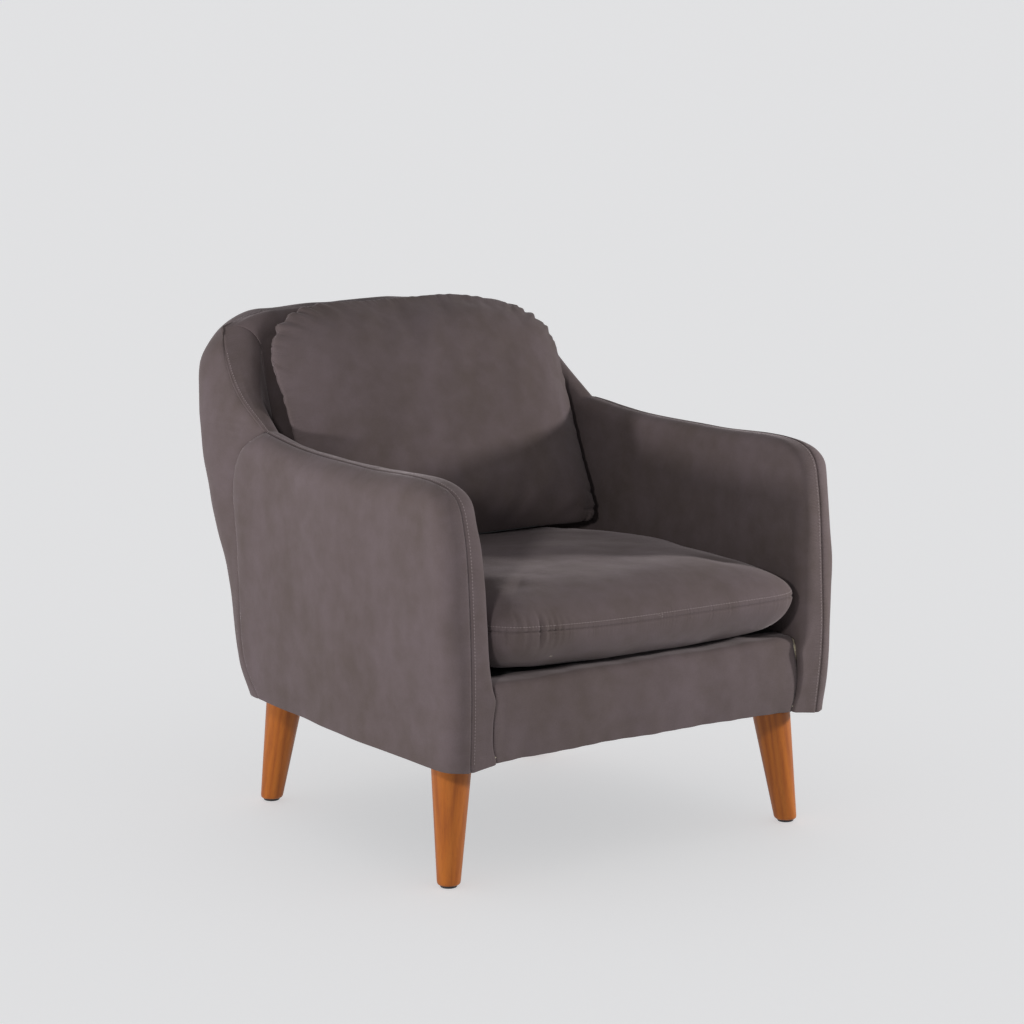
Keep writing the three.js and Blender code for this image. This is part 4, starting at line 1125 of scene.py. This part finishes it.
def level_sheet(name, edge_y, edge_x, top, thickness, relief):
    ys = np.unique(np.concatenate([np.arange(edge_y[0], edge_y[-1], SHEET_CELL), edge_y]))
    u, y = np.meshgrid(np.linspace(-1, 1, 73), ys)
    x = u * np.interp(y, edge_y, edge_x)
    inset = np.minimum((1 - np.abs(u)) * 290, np.minimum(y - edge_y[0], edge_y[-1] - y))
    upper = vec(x, y, top + relief(x, y, inset))
    points, faces = closed_sheet(upper, upper - vec(0, 0, thickness))
    sheet = mesh_object(name + "_cloth", points, faces, lining, "chair", np.zeros((len(points), 2)))
    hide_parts(name)
    return sheet


def dust_relief(x, y, inset):
    """Pulled in small tucks at its staples, and hanging a little in the middle."""
    tucks = 0.25 * np.sin(x * 2 * math.pi / 40) * np.sin(y * 2 * math.pi / 40) * np.exp(-inset / 18)
    near_leg = 0
    for leg_x, leg_y, _ in LEG_PLACES.values():
        near_leg = np.maximum(near_leg, np.exp(-(((np.abs(x) - leg_x) ** 2 + (y - leg_y) ** 2) / 70**2)))
    return -3.2 * smooth(inset, 20, 170) * (1 - near_leg) + tucks - 0.25


def deck_relief(x, y, inset):
    return slack(vec(x, y, 0), (0.4, 120, 81)) * smooth(inset, 0, 30) - 0.45


dust = level_sheet("dust_cover", DUST_EDGE_Y, DUST_EDGE_X, DUST_TOP, DUST_THICKNESS, dust_relief)
deck = level_sheet("deck_cover", DECK_EDGE_Y, DECK_EDGE_X, DECK_TOP, DECK_THICKNESS, deck_relief)


# ---- foam under the covers ----
FOAM_DEPTH, FOAM_REACH = 4.2, 16.0  # least depth below the outside of a cover, and how far off that is sought
FOAM_CELL, FOAM_SHRINK, FOAM_PASSES = 5.0, 0.8, 4


def cover_tree(grid, side=1):
    """A search tree over the outside of a cover."""
    points = settled((grid * np.array([side, 1, 1])).reshape(-1, 3))
    return BVHTree.FromPolygons(points.tolist(), quads_of(numbered(*grid.shape[:2]), side < 0).tolist())


PRESSING = (cover_tree(arm_cover), cover_tree(arm_cover, -1), cover_tree(back_cover))


def pressed_under(points, tree):
    """Points moved in where they come too near to the outside of a cover, or through it."""
    for index, point in enumerate(points):
        nearest, outward, _, away = tree.find_nearest(Vector(point))
        height = (Vector(point) - nearest).dot(outward)
        if away < FOAM_REACH and height > -FOAM_DEPTH:
            points[index] -= np.array(outward) * (height + FOAM_DEPTH)
    return points


def softened(name):
    """A foam piece with its edges and faces softened, from its CAD body, pressed flat under its cover."""
    source = NODES[name]
    made = source.copy()
    made.data = source.data.copy()
    made.name = name + "_soft"
    for key in list(made.keys()):
        del made[key]
    made.parent = None
    made.matrix_world = source.matrix_world.copy()
    bpy.context.scene.collection.objects.link(made)
    remesh = made.modifiers.new("remesh", "REMESH")
    remesh.mode = "VOXEL"
    remesh.voxel_size = FOAM_CELL * MM
    made.modifiers.new("relax", "SMOOTH").iterations = FOAM_PASSES
    mesh = bpy.data.meshes.new_from_object(made.evaluated_get(bpy.context.evaluated_depsgraph_get()))
    made.modifiers.clear()
    made.data = mesh
    points, normals = np.zeros(len(mesh.vertices) * 3), np.zeros(len(mesh.vertices) * 3)
    mesh.vertices.foreach_get("co", points)
    mesh.vertex_normals.foreach_get("vector", normals)
    points, normals = points.reshape(-1, 3), normals.reshape(-1, 3)
    depth = FOAM_SHRINK + slack(points / MM, (0.35, 55, 91))
    points = settled((points - normals * (depth * MM)[:, None]) / MM)
    for tree in PRESSING:
        points = pressed_under(points, tree)
    mesh.vertices.foreach_set("co", (points * MM).ravel())
    mesh.polygons.foreach_set("use_smooth", [True] * len(mesh.polygons))
    mesh.materials.clear()
    mesh.materials.append(foam)
    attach(made, "chair")
    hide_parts(name)


for foam_name in ("deck_pad", "arm_padding_right", "arm_padding_left", "back_foam"):
    softened(foam_name)


# ---- camera, lights and floor ----
CAMERA_PLACE, CAMERA_YAW, CAMERA_PITCH = (-3.4677, -4.8530, 1.5705), 0.6253, 0.18  # metres and radians
CAMERA_LENS, CAMERA_SENSOR, CAMERA_REACH = 133.6, 36, 300
LAMP_AIM, LAMP_WIDTH = Vector((0, -0.05, 0.45)), 0.16
LAMPS = {  # azimuth towards the chair's right and elevation in degrees, distance, power and blue share
    "right_lamp": (54, 11, 1.9, 26.0, 0.96),
    "side_lamp": (-104, 9, 2.1, 21.5, 0.975),
    "left_lamp": (-47, 16, 2.1, 12.5, 0.955),
}
FLOOR_COLOUR, FLOOR_GLOW, GLOW_STRENGTH = (0.55, 0.547, 0.545, 1), (0.98, 0.985, 1.0, 1), 0.52
FLOOR_RADIUS, FLOOR_SIDES = 60000, 96
SKY_COLOUR, SKY_STRENGTH = (0.95, 0.955, 0.97, 1), 0.43


def add_camera():
    yaw, pitch = CAMERA_YAW, CAMERA_PITCH
    forward = Vector((math.sin(yaw) * math.cos(pitch), math.cos(yaw) * math.cos(pitch), -math.sin(pitch)))
    right = Vector((math.cos(yaw), -math.sin(yaw), 0))
    up = right.cross(forward)
    data = bpy.data.cameras.new("camera")
    data.sensor_width = CAMERA_SENSOR
    data.lens = CAMERA_LENS
    data.clip_end = CAMERA_REACH
    camera = linked("camera", data)
    camera.matrix_world = Matrix((right, up, -forward)).transposed().to_4x4()
    camera.location = CAMERA_PLACE
    bpy.context.scene.camera = camera


def add_lamp(name, azimuth, elevation, away, power, blue, unlit):
    """A small soft lamp round the chair, that leaves out what is in the collection unlit."""
    data = bpy.data.lights.new(name, "AREA")
    data.shape = "DISK"
    data.size = LAMP_WIDTH
    data.energy = power
    data.color = (1.0, 0.97, blue)
    light = linked(name, data)
    a, e = math.radians(azimuth), math.radians(elevation)
    towards = Vector((math.sin(a) * math.cos(e), -math.cos(a) * math.cos(e), math.sin(e)))
    light.location = LAMP_AIM + away * towards
    light.rotation_euler = towards.to_track_quat("Z", "Y").to_euler()
    light.visible_camera = False
    light.light_linking.receiver_collection = unlit


def add_floor():
    looks = Looks("studio_floor")
    glow = {"Emission Color": FLOOR_GLOW, "Emission Strength": GLOW_STRENGTH}
    material = looks.shaded({"Base Color": FLOOR_COLOUR, "Roughness": 0.75, **glow})
    ring = [(FLOOR_RADIUS * math.cos(a), FLOOR_RADIUS * math.sin(a), 0) for a in round_angles(FLOOR_SIDES)]
    floor = mesh_object("floor", ring, [range(FLOOR_SIDES)], material, None)
    return floor


add_camera()
unlit = bpy.data.collections.new("not_lit_by_the_lamps")
unlit.objects.link(add_floor())
unlit.collection_objects[0].light_linking.link_state = "EXCLUDE"
for lamp_name, lamp_settings in LAMPS.items():
    add_lamp(lamp_name, *lamp_settings, unlit)
world = bpy.data.worlds.new("studio")
bpy.context.scene.world = world
world.use_nodes = True
sky = world.node_tree.nodes["Background"]
sky.inputs["Color"].default_value = SKY_COLOUR
sky.inputs["Strength"].default_value = SKY_STRENGTH
bpy.context.scene.view_settings.view_transform = "Standard"
